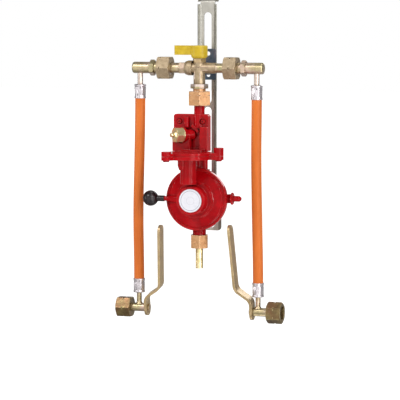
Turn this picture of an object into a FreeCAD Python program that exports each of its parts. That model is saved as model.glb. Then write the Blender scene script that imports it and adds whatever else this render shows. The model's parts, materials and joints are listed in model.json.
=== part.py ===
import FreeCAD, Part
import math
import os

# Two-bottle gas regulator set on a wall rail. A changeover tee at the top feeds a two-stage
# regulator below it, and a high-pressure hose hangs from each arm of the tee. Each hose ends
# in a hand connector with a bent lever that screws onto a gas bottle.
# Millimetres. X is to the right, Y is into the wall, Z is up. The origin is on the wall plane,
# midway between the two slots that take the wall screws.

V = FreeCAD.Vector
X_AXIS = V(1, 0, 0)
Y_AXIS = V(0, 1, 0)
Z_AXIS = V(0, 0, 1)

# Clearances
turn_gap = 0.05          # radial, between pieces that turn or screw together
end_gap = 0.3            # axial, between pieces that move against each other

# Wall rail
rail_half_length = 201.6
rail_web = 24.0
rail_thickness = 2.0
rail_offset = 18.0       # the web's back face stands this far off the wall
rail_joggle = 15.0
foot_length = 22.5
foot_width = 33.4
foot_corner = 6.0
flange_angle = 52.0      # of the flared edges, from the web
flange_reach = 6.5
flange_inset = 4.0       # from the end of the flat web to the end of a flange
slot_width = 12.6
slot_bridge = 5.3        # web left between the two long slots
rail_slot_length = 144.8
wall_slot_length = 16.0
wall_slot_margin = 4.7

# Saddle plate and the screw that clamps the tee to the rail
tee_stand_off = 43.0     # from the front of the web to the tee's axis
tee_z = 60.3
saddle_width = 30.5
saddle_height = 49.0
saddle_thickness = 2.5
saddle_rise = 5.0        # the plate's centre above the tee's axis
saddle_hole_pitch = 33.8
saddle_hole = 6.6
saddle_hole_x = 3.0      # to the right of the middle plane
saddle_corner = 2.0
clamp_screw = 8.0
clamp_head_flats = 13.0
clamp_head_height = 5.3
clamp_grip = 13.0        # how far the screw reaches into the tee
washer_diameter = 24.0
washer_thickness = 1.6

# Changeover tee
tee_left_boss = 23.5
tee_left_end = 22.2
tee_boss_start = 11.2
tee_boss_mouth = 20.4    # diameter at the boss's outer end
tee_boss_taper = 4.5
tee_right_arm = 17.0
tee_right_end = 27.6
tee_branch = 18.5
tee_branch_length = 25.2
tee_neck = 18.0
tee_neck_top = 8.6
tee_passage = 6.0
inlet_passage_rise = 12.0  # from the back plate's lower edge to the end of the inlet's passage
tee_rear_boss = 16.0
plug_diameter = 11.4
plug_bottom = 8.0        # below the tee's axis
stem_diameter = 8.0
gland_flats = 18.5
gland_height = 6.4

# Changeover lever
hub_diameter = 26.0
hub_base = 21.5
hub_taper = 3.0
hub_height = 20.0
arm_length = 40.3
arm_height = 14.8
arm_width = 9.5
arm_tip = 2.0
lever_screw_head = 8.0
lever_screw_recess = 3.0

# Notches in the corners of the nuts with a left-hand thread
notch_floor = 0.7        # from the flats' distance to the bottom of a notch
notch_width = 2.6        # at a corner
inlet_notch_width = 1.6
inlet_notch_drop = 6.0   # below the hexagon's top

# Union joints between the tee and the hose elbows
tail_diameter = 16.0
right_tail_diameter = 15.2
tail_hex_flats = 17.0
tail_hex_length = 10.0
union_thread = 21.8
union_thread_length = 10.0
union_flats = 34.2
union_length = 20.6
union_notches = (15.4, 10.3)  # from the near face to the notches of the left and the right nut
seal_thickness = 1.5
nose_length = 3.0
pipe_bore = 8.0
left_nut_start = 46.4    # from the tee's centre to the near face of the left union nut
right_nut_start = 42.5
barrel_diameter = 18.2
barrel_round = 2.4
corner_turn = 18.0       # degrees that some hexagons' front corners stand to the right
barrel_hex_flats = 22.0
barrel_hex_length = 7.0
barrel_hex_gap = 6.8     # between the union nut and the barrel's hexagon
left_barrel_end = 110.2
right_barrel_end = 105.4

# Hoses and their end fittings
hose_diameter = 16.3
hose_bore = 8.0
left_hose_x = -98.5
right_hose_x = 94.0
stub_diameter = 8.6
stub_drop = 26.2         # from the barrel's axis to the ferrule
hose_tail = 7.8
hose_tail_length = 24.0
ferrule_length = 22.3
ferrule_rim = 18.8
ferrule_waist = 17.3
ferrule_roof = 2.5
hose_length_z = 327.1    # height between the roofs of the upper and the lower ferrule

# Bottle connectors. The lever, the spindle and the nut turn together.
left_foot_x = -101.0
right_foot_x = 96.9
foot_stub = 8.0
foot_stub_length = 17.3
foot_stub_flare = 12.0
banjo_diameter = 13.4
banjo_overlap = 2.6      # how far the banjo reaches into the nut's recess
connector_in = 87.3      # from the middle plane to the middle of the lever's plate
connector_nut_start = 113.2
connector_flats = 30.0
connector_nut_length = 23.3
connector_thread = 21.8
connector_thread_length = 10.0
connector_relief = 22.6  # wider stretch behind the thread
connector_relief_length = 4.0
spindle_diameter = 7.0
spindle_nose = 16.0
spindle_nose_length = 1.8
spindle_tip = 1.8
lever_plate = 20.8
lever_plate_drop = 2.4   # of the rounded end's middle below the spindle
lever_thickness = 4.0
lever_width = 20.0
lever_nut_flats = 11.0
lever_nut_height = 2.2
lever_screw_over = 0.3
lever_points = [(0.0, 0.0), (0.0, 18.5), (-25.5, 35.8), (-32.2, 138.8)]
lever_bend = 12.0
left_lean = 12.4         # degrees, towards the front
right_lean = 7.0

# Regulator inlet
lock_nut_flats = 24.2
lock_nut_height = 6.9
inlet_collar = 19.8
inlet_collar_height = 4.5
inlet_nut_flats = 33.6
inlet_nut_height = 22.1
inlet_thread = 20.0
inlet_thread_length = 12.0
inlet_nose = 19.0
inlet_neck = 16.7
inlet_neck_length = 13.5

# First stage: a casting with a flange, and a spring housing screwed under it
plate_left = 40.5
plate_right = 16.8
plate_height = 58.0
plate_depth = 12.0
plate_corner = 4.0
flange_x = -4.4
flange_forward = 42.0
flange_diameter = 75.6
flange_upper = 4.4
flange_lower = 5.0
lug_radius = 7.6
lugs = ((0.0, 49.6, 12.6), (122.0, 46.0, 12.6), (240.0, 46.0, 7.4))     # angle, reach, height
flange_gap = 0.4         # seam between the two flange halves
flange_screw = 5.0
flange_screw_head = 8.5
flange_screw_head_height = 2.3
first_diaphragm_thickness = 1.2
first_diaphragm_diameter = 66.0
chamber_diameter = 50.0
chamber_depth = 2.6
housing_diameter = 25.6
housing_length = 39.0
housing_wall = 2.2
vent_boss_diameter = 13.0
vent_boss_length = 10.0
vent_boss_tip = 8.0
vent_boss_cone = 7.0
vent_boss_left = 8.2
vent_boss_forward = 8.0
left_block_width = 28.0
left_block_left = 38.8
left_block_height = 25.8
left_block_depth = 12.0
right_column_left = 5.0
right_column_height = 38.0
right_column_depth = 8.0
recess_left = -13.0
recess_width = 14.5
recess_height = 21.6
recess_up = 5.2
recess_depth = 1.5
boss_x = -18.3
boss_radius = 3.9
boss_top = 4.6
boss_height = 16.0
boss_forward = 3.0
rib_width = 4.0
rib_depth = 4.0
rib_start = 9.5          # left of the middle
rib_drop = 17.4
rib_run = 10.5           # to the right and down
neck_rib_forward = 2.0   # the inlet's neck goes on down the plate as a round rib
neck_rib_length = 22.0
neck_root = 4.0
plug_recess_gap = 2.5
bridge_forward = 10.0
bridge_rise = 3.0
bridge_width = 34.0
link_xs = (-2.0, 7.0)     # of the two round edges of the link
link_web = 4.0           # half the link's depth between them
link_radius = 5.4
link_forward = -4.0
link_seam_rise = 1.0      # above the round wall of the second stage
link_pad = 15.0          # depth of the pad under the link
link_pad_side = 1.2      # pad past the link on each side
valve_stem = 4.0
valve_plate = 36.0
valve_plate_thickness = 1.5
first_spring_radius = 8.0
first_spring_wire = 1.6
first_spring_turns = 7
body_screw_head = 8.0
body_screw_height = 3.0
body_screw_shank = 4.0
body_screw_drop = 11.7
body_screw_depth = 7.0   # of its hole, from the plate's front
body_screw_floor = 0.8   # of its recess, from the plate's front
body_screw_xs = (-30.7, 7.7)

# Test plug on the first stage
plug_flats = 22.0
plug_hex_length = 14.0
plug_seat_diameter = 24.5
plug_seat_x = -22.1
plug_seat_forward = 18.2
plug_drop = 32.2         # from the plate's top edge to the plug's axis
plug_nipple = 6.2
plug_nipple_length = 5.0
plug_thread = 12.0
plug_thread_length = 8.0
plug_boss = 16.0
plug_boss_length = 16.0
plug_collar_height = 2.5  # of the painted collar behind the plug
plug_cone = 1.8

# Second stage: a round housing with a diaphragm and a cover
body_drop = 205.5        # from the tee's axis to the middle of the second stage
body_diameter = 99.0
rear_diameter = 90.0
rear_back = 14.0         # behind the tee's axis
rim_front = 14.0         # in front of the tee's axis
rim_height = 5.0
rim_wall = 1.7
cover_rim = 8.5          # the cover's edge wraps back over the rim to here
housing_floor = 3.0
chamber_wall = 5.0
chamber_corner = 5.0
rear_chamfer = 8.0
second_diaphragm_thickness = 1.2
# Radius and depth of the cover's outside, from its rolled rim to the cap's thread, and of its inside
cover_steps = [(46.9, 18.2), (45.6, 17.4), (43.0, 19.5), (31.0, 24.0), (29.7, 25.2), (29.5, 27.2),
               (28.6, 28.2), (24.0, 28.8), (23.2, 29.4), (23.2, 34.0)]
cover_pocket = [(39.5, 17.4), (28.6, 21.6), (26.4, 23.4), (26.4, 25.4)]
cap_diameter = 46.4
cap_front = 46.0
cap_wall = 4.0
cap_face = 3.0
cap_thread_length = 6.0
label_diameter = 36.4
label_thickness = 1.6
label_sink = 0.8
piston_diameter = 60.0
piston_thickness = 1.5
piston_stem = 8.0
piston_stem_length = 14.0
piston_travel = 2.0
stem_slot = 4.0
seat_lever_length = 20.0
seat_lever_size = 3.0
seat_pin = 3.0
seat_ear_thickness = 3.0
seat_ear_gap = 4.0
seat_hub = 7.0
main_spring_radius = 13.0
main_spring_wire = 2.0
main_spring_turns = 5
outlet_neck = 21.0
outlet_neck_length = 7.8
outlet_thread = 20.0
outlet_thread_length = 12.0
outlet_nut_flats = 26.4
outlet_nut_height = 21.1
outlet_tube = 12.0
outlet_tube_wall = 1.0
outlet_tube_neck = 11.4  # of its turned-down end inside the nut
outlet_tube_drop = 32.3  # showing below the nut
outlet_olive = 15.0
outlet_olive_height = 3.5

# Reset knob on the left of the cover, relief valve on the right
reset_forward = 23.3
reset_arm = 12.8
reset_arm_over = 0.9     # how far the arm ends outside the second stage's rim
reset_shaft = 9.4
reset_shaft_show = 11.5
reset_rise = 0.6         # above the middle of the second stage
reset_tip = 7.4          # end of the arm, inside the knob's sleeve
reset_tip_length = 12.0
reset_sleeve = 6.6       # how far the sleeve reaches over the arm's end
reset_travel = 5.0
knob_diameter = 24.7
relief_forward = 0.0
relief_rise = 1.0
relief_boss = 13.6
relief_flange = 19.6
relief_flange_height = 3.0
relief_boss_reach = 10.0
link_pad_height = 8.0
relief_inset = 2.0       # how far its boss ends inside the second stage's rim
relief_flats = 14.0
relief_hex_length = 5.0
relief_nipple = 9.0
relief_nipple_length = 13.5
relief_thread = 10.0
relief_thread_length = 6.0

# Levels and places that follow from the sizes above
web_back = -rail_offset
web_front = web_back - rail_thickness
tee_y = web_front - tee_stand_off
saddle_back = (web_back - flange_reach * math.sin(math.radians(flange_angle))
               - rail_thickness * math.cos(math.radians(flange_angle)))
lock_nut_top = tee_z - tee_branch_length
inlet_nut_top = lock_nut_top - lock_nut_height
inlet_nut_bottom = inlet_nut_top - inlet_collar_height - inlet_nut_height
plate_top = inlet_nut_bottom - inlet_neck_length
plate_bottom = plate_top - plate_height
flange_y = tee_y - flange_forward
flange_seam = plate_bottom - flange_upper
bonnet_bottom = flange_seam - first_diaphragm_thickness - flange_lower
body_z = tee_z - body_drop
body_radius = body_diameter / 2
reset_arm_end = body_radius + reset_arm_over
relief_end = body_radius - relief_inset
ferrule_top = tee_z - stub_drop
hose_top = ferrule_top - ferrule_roof
hose_bottom = hose_top - hose_length_z
lower_ferrule_bottom = hose_bottom - ferrule_roof
banjo_z = lower_ferrule_bottom - foot_stub_length - banjo_diameter / 2


def forward(depth):
    """Y of a plane this far in front of the tee's axis."""
    return tee_y - depth


def rod(diameter, start, end):
    """Round bar from one point to another."""
    axis = end - start
    return Part.makeCylinder(diameter / 2, axis.Length, start, axis)


def ring(outer, inner, start, end):
    """Round bar with a bore right through."""
    return rod(outer, start, end).cut(rod(inner, start, end))


def box(low, high):
    """Block between two corners."""
    return Part.makeBox(high.x - low.x, high.y - low.y, high.z - low.z, low)


def hexagon(flats, start, end, first_corner=V(0, 0, 1)):
    """Hexagon bar from one point to another, with a corner towards the given side."""
    axis = end - start
    side = first_corner - axis * (first_corner.dot(axis) / axis.dot(axis))
    side.normalize()
    other = axis.cross(side)
    other.normalize()
    radius = flats / math.sqrt(3)
    corners = []
    for i in range(7):
        angle = math.radians(60 * i)
        corners.append(start + side * (radius * math.cos(angle)) + other * (radius * math.sin(angle)))
    return Part.Face(Part.makePolygon(corners)).extrude(axis)


def hex_nut(flats, start, end, first_corner=V(0, 0, 1), chamfer=1.0):
    """Hexagon bar with turned chamfers at both ends."""
    axis = end - start
    step = axis * (chamfer * 0.58 / axis.Length)
    radius = flats / math.sqrt(3)
    middle = Part.makeCylinder(radius, axis.Length - 2 * step.Length, start + step, axis)
    first = Part.makeCone(radius - chamfer, radius, step.Length, start, axis)
    last = Part.makeCone(radius, radius - chamfer, step.Length, end - step, axis)
    return hexagon(flats, start, end, first_corner).common(middle.fuse([first, last]))


def corner_notches(flats, middle, axis, width):
    """Ring that cuts the V notches of a left-hand thread into a hexagon's corners."""
    corner = flats / math.sqrt(3)
    floor = flats / 2 + notch_floor
    half = width / 2 * (corner + 1 - floor) / (corner - floor)
    return turned([(floor, 0), (corner + 1, -half), (corner + 1, half)], middle, axis)


def turned(profile, base, axis):
    """Solid of revolution from (radius, height) points along an axis."""
    points = [V(r, 0, h) for r, h in profile]
    face = Part.Face(Part.makePolygon(points + points[:1]))
    solid = face.revolve(V(0, 0, 0), Z_AXIS, 360)
    solid.Placement = FreeCAD.Placement(base, FreeCAD.Rotation(Z_AXIS, axis))
    return solid


def fuse(pieces):
    """One solid from touching pieces, with the seams removed."""
    return pieces[0].multiFuse(pieces[1:]).removeSplitter()


def edges_at(solid, direction, places):
    """Edges along a direction that pass through one of the places."""
    found = []
    for edge in solid.Edges:
        if edge.Curve.TypeId != "Part::GeomLine":
            continue
        start = edge.Vertexes[0].Point
        end = edge.Vertexes[-1].Point
        along = end - start
        if along.cross(direction).Length > 0.001 * along.Length:
            continue
        for place in places:
            if (start - place).cross(direction).Length < 0.01:
                found.append(edge)
                break
    return found


def bent_strip(points, thickness, width, bend):
    """Flat bar bent along (x, y) points, centred on z, with its bends rounded."""
    directions = []
    for start, end in zip(points, points[1:]):
        step = V(end[0] - start[0], end[1] - start[1], 0)
        step.normalize()
        directions.append(step)
    sides = [[], []]
    inner_bends = []
    outer_bends = []
    for i, point in enumerate(points):
        before = directions[max(i - 1, 0)]
        after = directions[min(i, len(directions) - 1)]
        normal_before = V(-before.y, before.x, 0)
        normal_after = V(-after.y, after.x, 0)
        mitre = (normal_before + normal_after) * (1 / (1 + normal_before.dot(normal_after)))
        left = V(point[0], point[1], 0) + mitre * (thickness / 2)
        right = V(point[0], point[1], 0) - mitre * (thickness / 2)
        sides[0].append(left)
        sides[1].append(right)
        turn = before.cross(after).z
        if abs(turn) > 0.001:
            inner_bends.append(left if turn > 0 else right)
            outer_bends.append(right if turn > 0 else left)
    outline = sides[0] + sides[1][::-1]
    strip = Part.Face(Part.makePolygon(outline + outline[:1])).extrude(Z_AXIS * width)
    strip = strip.makeFillet(bend, edges_at(strip, Z_AXIS, inner_bends))
    strip = strip.makeFillet(bend + thickness, edges_at(strip, Z_AXIS, outer_bends))
    strip.translate(Z_AXIS * (-width / 2))
    return strip


def slot_cutter(width, length, centre, depth):
    """Upright slot with round ends, cut through a wall along Y."""
    half = length / 2 - width / 2
    low = centre + V(0, -depth / 2, -half)
    high = centre + V(0, -depth / 2, half)
    across = V(width / 2, 0, 0)
    block = box(low - across, high + across + V(0, depth, 0))
    ends = [Part.makeCylinder(width / 2, depth, end, Y_AXIS) for end in (low, high)]
    return fuse([block] + ends)


def coil(radius, wire, turns, height):
    """Upright spring from z = 0 to the height given, to the outside of its wire."""
    rise = height - wire
    path = Part.makeHelix(rise / turns, rise, radius)
    section = Part.Wire([Part.makeCircle(wire / 2, V(radius, 0, 0), Y_AXIS)])
    spring = Part.Wire(path.Edges).makePipeShell([section], True, True)
    spring.translate(V(0, 0, wire / 2))
    return spring


def rounded_path(points):
    """Straight runs joined by tangent arcs; also gives the arc radii and the length."""
    edges = []
    radii = []
    start = points[0]
    for before, corner, after in zip(points, points[1:], points[2:]):
        into = corner - before
        out = after - corner
        trim = 0.45 * min(into.Length, out.Length)
        turn = into.getAngle(out)
        radius = trim / math.tan(turn / 2)
        into.normalize()
        out.normalize()
        arc_start = corner - into * trim
        arc_end = corner + out * trim
        bisector = out - into
        bisector.normalize()
        centre = corner + bisector * (radius / math.cos(turn / 2))
        arc_middle = centre - bisector * radius
        edges.append(Part.LineSegment(start, arc_start).toShape())
        edges.append(Part.Arc(arc_start, arc_middle, arc_end).toShape())
        radii.append(radius)
        start = arc_end
    edges.append(Part.LineSegment(start, points[-1]).toShape())
    return Part.Wire(edges), radii


# Wall rail

def make_wall_rail():
    foot_start = rail_half_length - foot_length
    web_end = foot_start - rail_joggle
    middle_foot = -rail_thickness / 2
    middle_web = web_back - rail_thickness / 2
    profile = [(middle_foot, -rail_half_length), (middle_foot, -foot_start), (middle_web, -web_end),
               (middle_web, web_end), (middle_foot, foot_start), (middle_foot, rail_half_length)]
    strip = bent_strip(profile, rail_thickness, foot_width, rail_thickness)
    strip.rotate(V(0, 0, 0), V(1, 1, 1), 120)
    corners = []
    for x in (-foot_width / 2, foot_width / 2):
        for z in (-rail_half_length, rail_half_length):
            corners.append(V(x, 0, z))
    strip = strip.makeFillet(foot_corner, edges_at(strip, Y_AXIS, corners))
    side_cut = (foot_width - rail_web) / 2
    pieces = []
    for side in (-1, 1):
        low = V(side * foot_width / 2, web_front - 1, -web_end)
        high = V(side * (foot_width / 2 - side_cut), web_back + 1, web_end)
        low.x, high.x = min(low.x, high.x), max(low.x, high.x)
        strip = strip.cut(box(low, high))
        pieces.append(make_rail_flange(side, web_end - flange_inset))
    rail = fuse([strip] + pieces)
    slot_centre = (slot_bridge + rail_slot_length) / 2
    wall_slot_centre = rail_half_length - wall_slot_margin - wall_slot_length / 2
    for side in (-1, 1):
        middle = (web_back + web_front) / 2
        rail = rail.cut(slot_cutter(slot_width, rail_slot_length,
                                    V(0, middle, side * slot_centre), 3 * rail_thickness))
        rail = rail.cut(slot_cutter(slot_width, wall_slot_length,
                                    V(0, -rail_thickness / 2, side * wall_slot_centre),
                                    3 * rail_thickness))
    print("wall slots at z = +-%.2f" % wall_slot_centre)
    return rail


def make_rail_flange(side, half_length):
    angle = math.radians(flange_angle)
    along = V(side * math.cos(angle), -math.sin(angle), 0)
    inward = V(-side * math.sin(angle), -math.cos(angle), 0)
    root = V(side * rail_web / 2, web_back, -half_length)
    tip = root + along * flange_reach
    root_inner = V(side * (rail_web / 2 - rail_thickness), web_front, -half_length)
    outline = [root, tip, tip + inward * rail_thickness, root_inner,
               V(side * (rail_web / 2 - rail_thickness), web_back, -half_length)]
    return Part.Face(Part.makePolygon(outline + outline[:1])).extrude(Z_AXIS * (2 * half_length))


# Saddle plate, clamp screw and washer

def make_saddle_plate():
    front = saddle_back - saddle_thickness
    centre_z = tee_z + saddle_rise
    low = V(-saddle_width / 2, front, centre_z - saddle_height / 2)
    high = V(saddle_width / 2, saddle_back, centre_z + saddle_height / 2)
    plate = box(low, high)
    plate = plate.makeFillet(saddle_corner, edges_at(plate, Y_AXIS, [
        V(x, 0, z) for x in (low.x, high.x) for z in (low.z, high.z)]))
    for z in (centre_z - saddle_hole_pitch / 2, centre_z + saddle_hole_pitch / 2):
        plate = plate.cut(rod(saddle_hole, V(saddle_hole_x, front - 1, z),
                              V(saddle_hole_x, saddle_back + 1, z)))
    screw_hole = clamp_screw + 4 * turn_gap
    return plate.cut(rod(screw_hole, V(0, front - 1, tee_z), V(0, saddle_back + 1, tee_z)))


def clamp_screw_reach():
    """Y of the screw's end inside the tee's rear boss."""
    return saddle_back - saddle_thickness - clamp_grip


def make_clamp_washer():
    hole = clamp_screw + 4 * turn_gap
    return ring(washer_diameter, hole, V(0, web_back, tee_z), V(0, web_back + washer_thickness, tee_z))


def make_clamp_screw():
    under_head = web_back + washer_thickness
    shank = rod(clamp_screw, V(0, under_head, tee_z), V(0, clamp_screw_reach(), tee_z))
    head = hex_nut(clamp_head_flats, V(0, under_head, tee_z), V(0, under_head + clamp_head_height, tee_z))
    return fuse([shank, head])


# Changeover tee and its valve

def make_tee_body():
    centre = V(0, tee_y, tee_z)
    nose_top = inlet_seat_z() + nose_length
    pieces = [
        turned([(0, 0), (tee_boss_mouth / 2, 0), (tee_left_boss / 2, tee_boss_taper),
                (tee_left_boss / 2, tee_left_end - tee_boss_start),
                (0, tee_left_end - tee_boss_start)], centre - V(tee_left_end, 0, 0), X_AXIS),
        rod(tee_right_arm, centre - V(tee_left_end, 0, 0), centre + V(tee_right_end, 0, 0)),
        rod(tee_branch, centre, V(0, tee_y, lock_nut_top)),
        rod(tee_neck, centre, centre + V(0, 0, tee_neck_top)),
        rod(tee_rear_boss, centre, V(0, saddle_back - saddle_thickness, tee_z)),
        rod(inlet_neck, V(0, tee_y, lock_nut_top), V(0, tee_y, nose_top)),
        rod(inlet_nose, V(0, tee_y, nose_top), V(0, tee_y, inlet_seat_z())),
    ]
    body = fuse(pieces)
    body = body.cut(rod(tee_passage, centre - V(tee_left_end + 1, 0, 0), centre + V(tee_right_end + 1, 0, 0)))
    body = body.cut(rod(tee_passage, centre, V(0, tee_y, inlet_seat_z() - 1)))
    body = body.cut(rod(plug_diameter + 2 * turn_gap, centre - V(0, 0, plug_bottom + turn_gap),
                        centre + V(0, 0, tee_neck_top + 1)))
    screw_end = clamp_screw_reach() - 1
    body = body.cut(rod(clamp_screw + turn_gap, V(0, screw_end, tee_z),
                        V(0, saddle_back, tee_z)))
    return body


def inlet_seat_z():
    """Height of the face where the tee's tail meets the seal above the regulator's inlet."""
    return inlet_nut_bottom + inlet_thread_length + seal_thickness


def make_gland_nut():
    base = V(0, tee_y, tee_z + tee_neck_top)
    top = base + V(0, 0, gland_height)
    nut = hex_nut(gland_flats, base, top, V(1, 0, 0), 0.8)
    return nut.cut(rod(stem_diameter + 2 * turn_gap, base - Z_AXIS, top + Z_AXIS))


def make_changeover_plug():
    centre = V(0, tee_y, tee_z)
    stem_top = hub_bottom() + hub_height - lever_screw_recess
    plug = fuse([
        rod(plug_diameter, centre - V(0, 0, plug_bottom), centre + V(0, 0, tee_neck_top - turn_gap)),
        rod(stem_diameter, centre, V(0, tee_y, stem_top - end_gap)),
    ])
    plug = plug.cut(rod(tee_passage, centre, centre - V(plug_diameter, 0, 0)))
    return plug.cut(rod(tee_passage, centre, centre - V(0, 0, plug_bottom + 1)))


def hub_bottom():
    return tee_z + tee_neck_top + gland_height + end_gap


def make_changeover_lever():
    base = V(0, tee_y, hub_bottom())
    hub = turned([(0, 0), (hub_base / 2, 0), (hub_diameter / 2, hub_taper),
                  (hub_diameter / 2, hub_height - 1.0), (hub_diameter / 2 - 1.0, hub_height),
                  (0, hub_height)], base, Z_AXIS)
    arm_low = hub_height - arm_height
    arm = box(base + V(-arm_length, -arm_width / 2, arm_low), base + V(0, arm_width / 2, hub_height))
    tips = [base + V(-arm_length, y, 0) for y in (-arm_width / 2, arm_width / 2)]
    arm = arm.makeFillet(arm_tip, edges_at(arm, Z_AXIS, tips))
    lever = fuse([hub, arm])
    top = base + V(0, 0, hub_height)
    lever = lever.cut(rod(stem_diameter, base - Z_AXIS, top))
    return lever.cut(rod(lever_screw_head + 1.0, top - V(0, 0, lever_screw_recess), top + Z_AXIS))


def make_lever_screw():
    top = hub_bottom() + hub_height
    seat = top - lever_screw_recess
    head = rod(lever_screw_head, V(0, tee_y, seat), V(0, tee_y, top - 0.6))
    slot = box(V(-lever_screw_head, tee_y - 0.6, top - 1.6), V(lever_screw_head, tee_y + 0.6, top))
    return head.cut(slot)


def make_tee_lock_nut():
    top = V(0, tee_y, lock_nut_top)
    bottom = top - V(0, 0, lock_nut_height)
    nut = hex_nut(lock_nut_flats, top, bottom, Z_AXIS.cross(facing_corner()), 0.8)
    return nut.cut(rod(inlet_neck, top + Z_AXIS, bottom - Z_AXIS))


def facing_corner():
    """Direction in the level plane that the corners of the upright nuts point to."""
    return V(math.sin(math.radians(corner_turn)), -math.cos(math.radians(corner_turn)), 0)


# Union joints

def union_places(side):
    """X of the seal, the nose and the end of the union nut on one side of the tee."""
    start = left_nut_start if side < 0 else right_nut_start
    seal = start + union_thread_length + 1.0
    nose = seal + seal_thickness
    return start, seal, nose, start + union_length


def make_tailpiece(side):
    start, seal, nose, end = union_places(side)
    arm_end = tee_left_end if side < 0 else tee_right_end
    diameter = tail_diameter if side < 0 else right_tail_diameter
    pieces = [
        rod(diameter, V(side * arm_end, tee_y, tee_z), V(side * seal, tee_y, tee_z)),
        rod(union_thread, V(side * (start + 0.5), tee_y, tee_z), V(side * seal, tee_y, tee_z)),
    ]
    if side < 0:
        pieces.append(hex_nut(tail_hex_flats, V(side * arm_end, tee_y, tee_z),
                              V(side * (arm_end + tail_hex_length), tee_y, tee_z), Y_AXIS, 0.6))
    tail = fuse(pieces)
    return tail.cut(rod(pipe_bore, V(side * (arm_end - 1), tee_y, tee_z),
                        V(side * (seal + 1), tee_y, tee_z)))


def make_union_seal(side):
    start, seal, nose, end = union_places(side)
    return ring(union_thread - 1.5, pipe_bore, V(side * seal, tee_y, tee_z),
                V(side * nose, tee_y, tee_z))


def make_union_nut(side):
    start, seal, nose, end = union_places(side)
    near = V(side * start, tee_y, tee_z)
    far = V(side * end, tee_y, tee_z)
    shoulder = V(side * (nose + nose_length + end_gap), tee_y, tee_z)
    nut = hex_nut(union_flats, near, far, Y_AXIS, 1.8)
    notch = V(side * (start + union_notches[0 if side < 0 else 1]), tee_y, tee_z)
    nut = nut.cut(corner_notches(union_flats, notch, X_AXIS, notch_width))
    nut = nut.cut(rod(union_thread + 2 * turn_gap, near - V(side, 0, 0), shoulder))
    return nut.cut(rod(barrel_diameter + 2 * turn_gap, shoulder - V(side, 0, 0), far + V(side, 0, 0)))


def make_elbow(side):
    start, seal, nose, end = union_places(side)
    barrel_end = left_barrel_end if side < 0 else right_barrel_end
    hose_x = left_hose_x if side < 0 else right_hose_x
    hex_start = end + barrel_hex_gap
    radius = barrel_diameter / 2
    length = barrel_end - nose
    eased = barrel_round / 3.4
    barrel = turned([(0, 0), (radius, 0), (radius, length - barrel_round),
                     (radius - eased, length - eased), (radius - barrel_round, length), (0, length)],
                    V(side * nose, tee_y, tee_z), V(side, 0, 0))
    pieces = [
        barrel,
        rod(union_thread - 0.8, V(side * nose, tee_y, tee_z), V(side * (nose + nose_length), tee_y, tee_z)),
        hex_nut(barrel_hex_flats, V(side * hex_start, tee_y, tee_z),
                V(side * (hex_start + barrel_hex_length), tee_y, tee_z), Z_AXIS, 1.0),
        rod(stub_diameter, V(hose_x, tee_y, tee_z), V(hose_x, tee_y, hose_top)),
        rod(hose_tail, V(hose_x, tee_y, tee_z), V(hose_x, tee_y, hose_top - hose_tail_length)),
    ]
    elbow = fuse(pieces)
    elbow = elbow.cut(rod(pipe_bore, V(side * (nose - 1), tee_y, tee_z), V(hose_x, tee_y, tee_z)))
    bore = hose_tail - 3.0
    return elbow.cut(rod(bore, V(hose_x, tee_y, tee_z), V(hose_x, tee_y, hose_top - hose_tail_length - 1)))


# Hoses and ferrules

def hose_points(side):
    """Route of a hose from the upper ferrule's roof down to the lower one's."""
    if side < 0:
        steps = [(left_hose_x, 0.0, 0.0), (left_hose_x, 0.0, 43.2), (left_hose_x - 1.4, -1.0, 117.8),
                 (left_foot_x - 1.0, -1.6, 202.8), (left_foot_x, 0.0, 283.9),
                 (left_foot_x, 0.0, hose_length_z)]
    else:
        steps = [(right_hose_x, 0.0, 0.0), (right_hose_x, 0.0, 41.9), (right_hose_x - 0.6, -0.8, 112.8),
                 (right_foot_x - 1.4, -1.7, 209.3), (right_foot_x, 0.0, 285.2),
                 (right_foot_x, 0.0, hose_length_z)]
    return [V(x, tee_y + depth, hose_top - drop) for x, depth, drop in steps]


def make_hose(side):
    path, radii = rounded_path(hose_points(side))
    top = hose_points(side)[0]
    outer = Part.Wire([Part.makeCircle(hose_diameter / 2, top, Z_AXIS)])
    inner = Part.Wire([Part.makeCircle(hose_bore / 2, top, Z_AXIS)])
    hose = path.makePipeShell([outer], True, False).cut(path.makePipeShell([inner], True, False))
    section = math.pi * (hose_diameter ** 2 - hose_bore ** 2) / 4
    print("hose length %.1f, radii %s, volume over section times length %.4f"
          % (path.Length, [round(r) for r in radii], hose.Volume / (section * path.Length)))
    return hose


def make_ferrule(x, roof_z, down):
    """Crimped sleeve; its roof is at roof_z and its open end points down or up."""
    rim = ferrule_rim / 2
    waist = ferrule_waist / 2
    outside = [(0, 0), (rim - 1.0, 0), (rim, 0.8), (rim, 2.0), (waist, 4.0), (waist, ferrule_length - 5.0),
               (rim, ferrule_length - 1.2), (rim, ferrule_length), (0, ferrule_length)]
    axis = V(0, 0, -1) if down else Z_AXIS
    base = V(x, tee_y, roof_z)
    ferrule = turned(outside, base, axis)
    ferrule = ferrule.cut(rod(hose_diameter + 2 * turn_gap, base + axis * ferrule_roof,
                              base + axis * (ferrule_length + 1)))
    return ferrule.cut(rod(stub_diameter + 2 * turn_gap, base - axis, base + axis * (ferrule_roof + 1)))


# Bottle connectors

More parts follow.
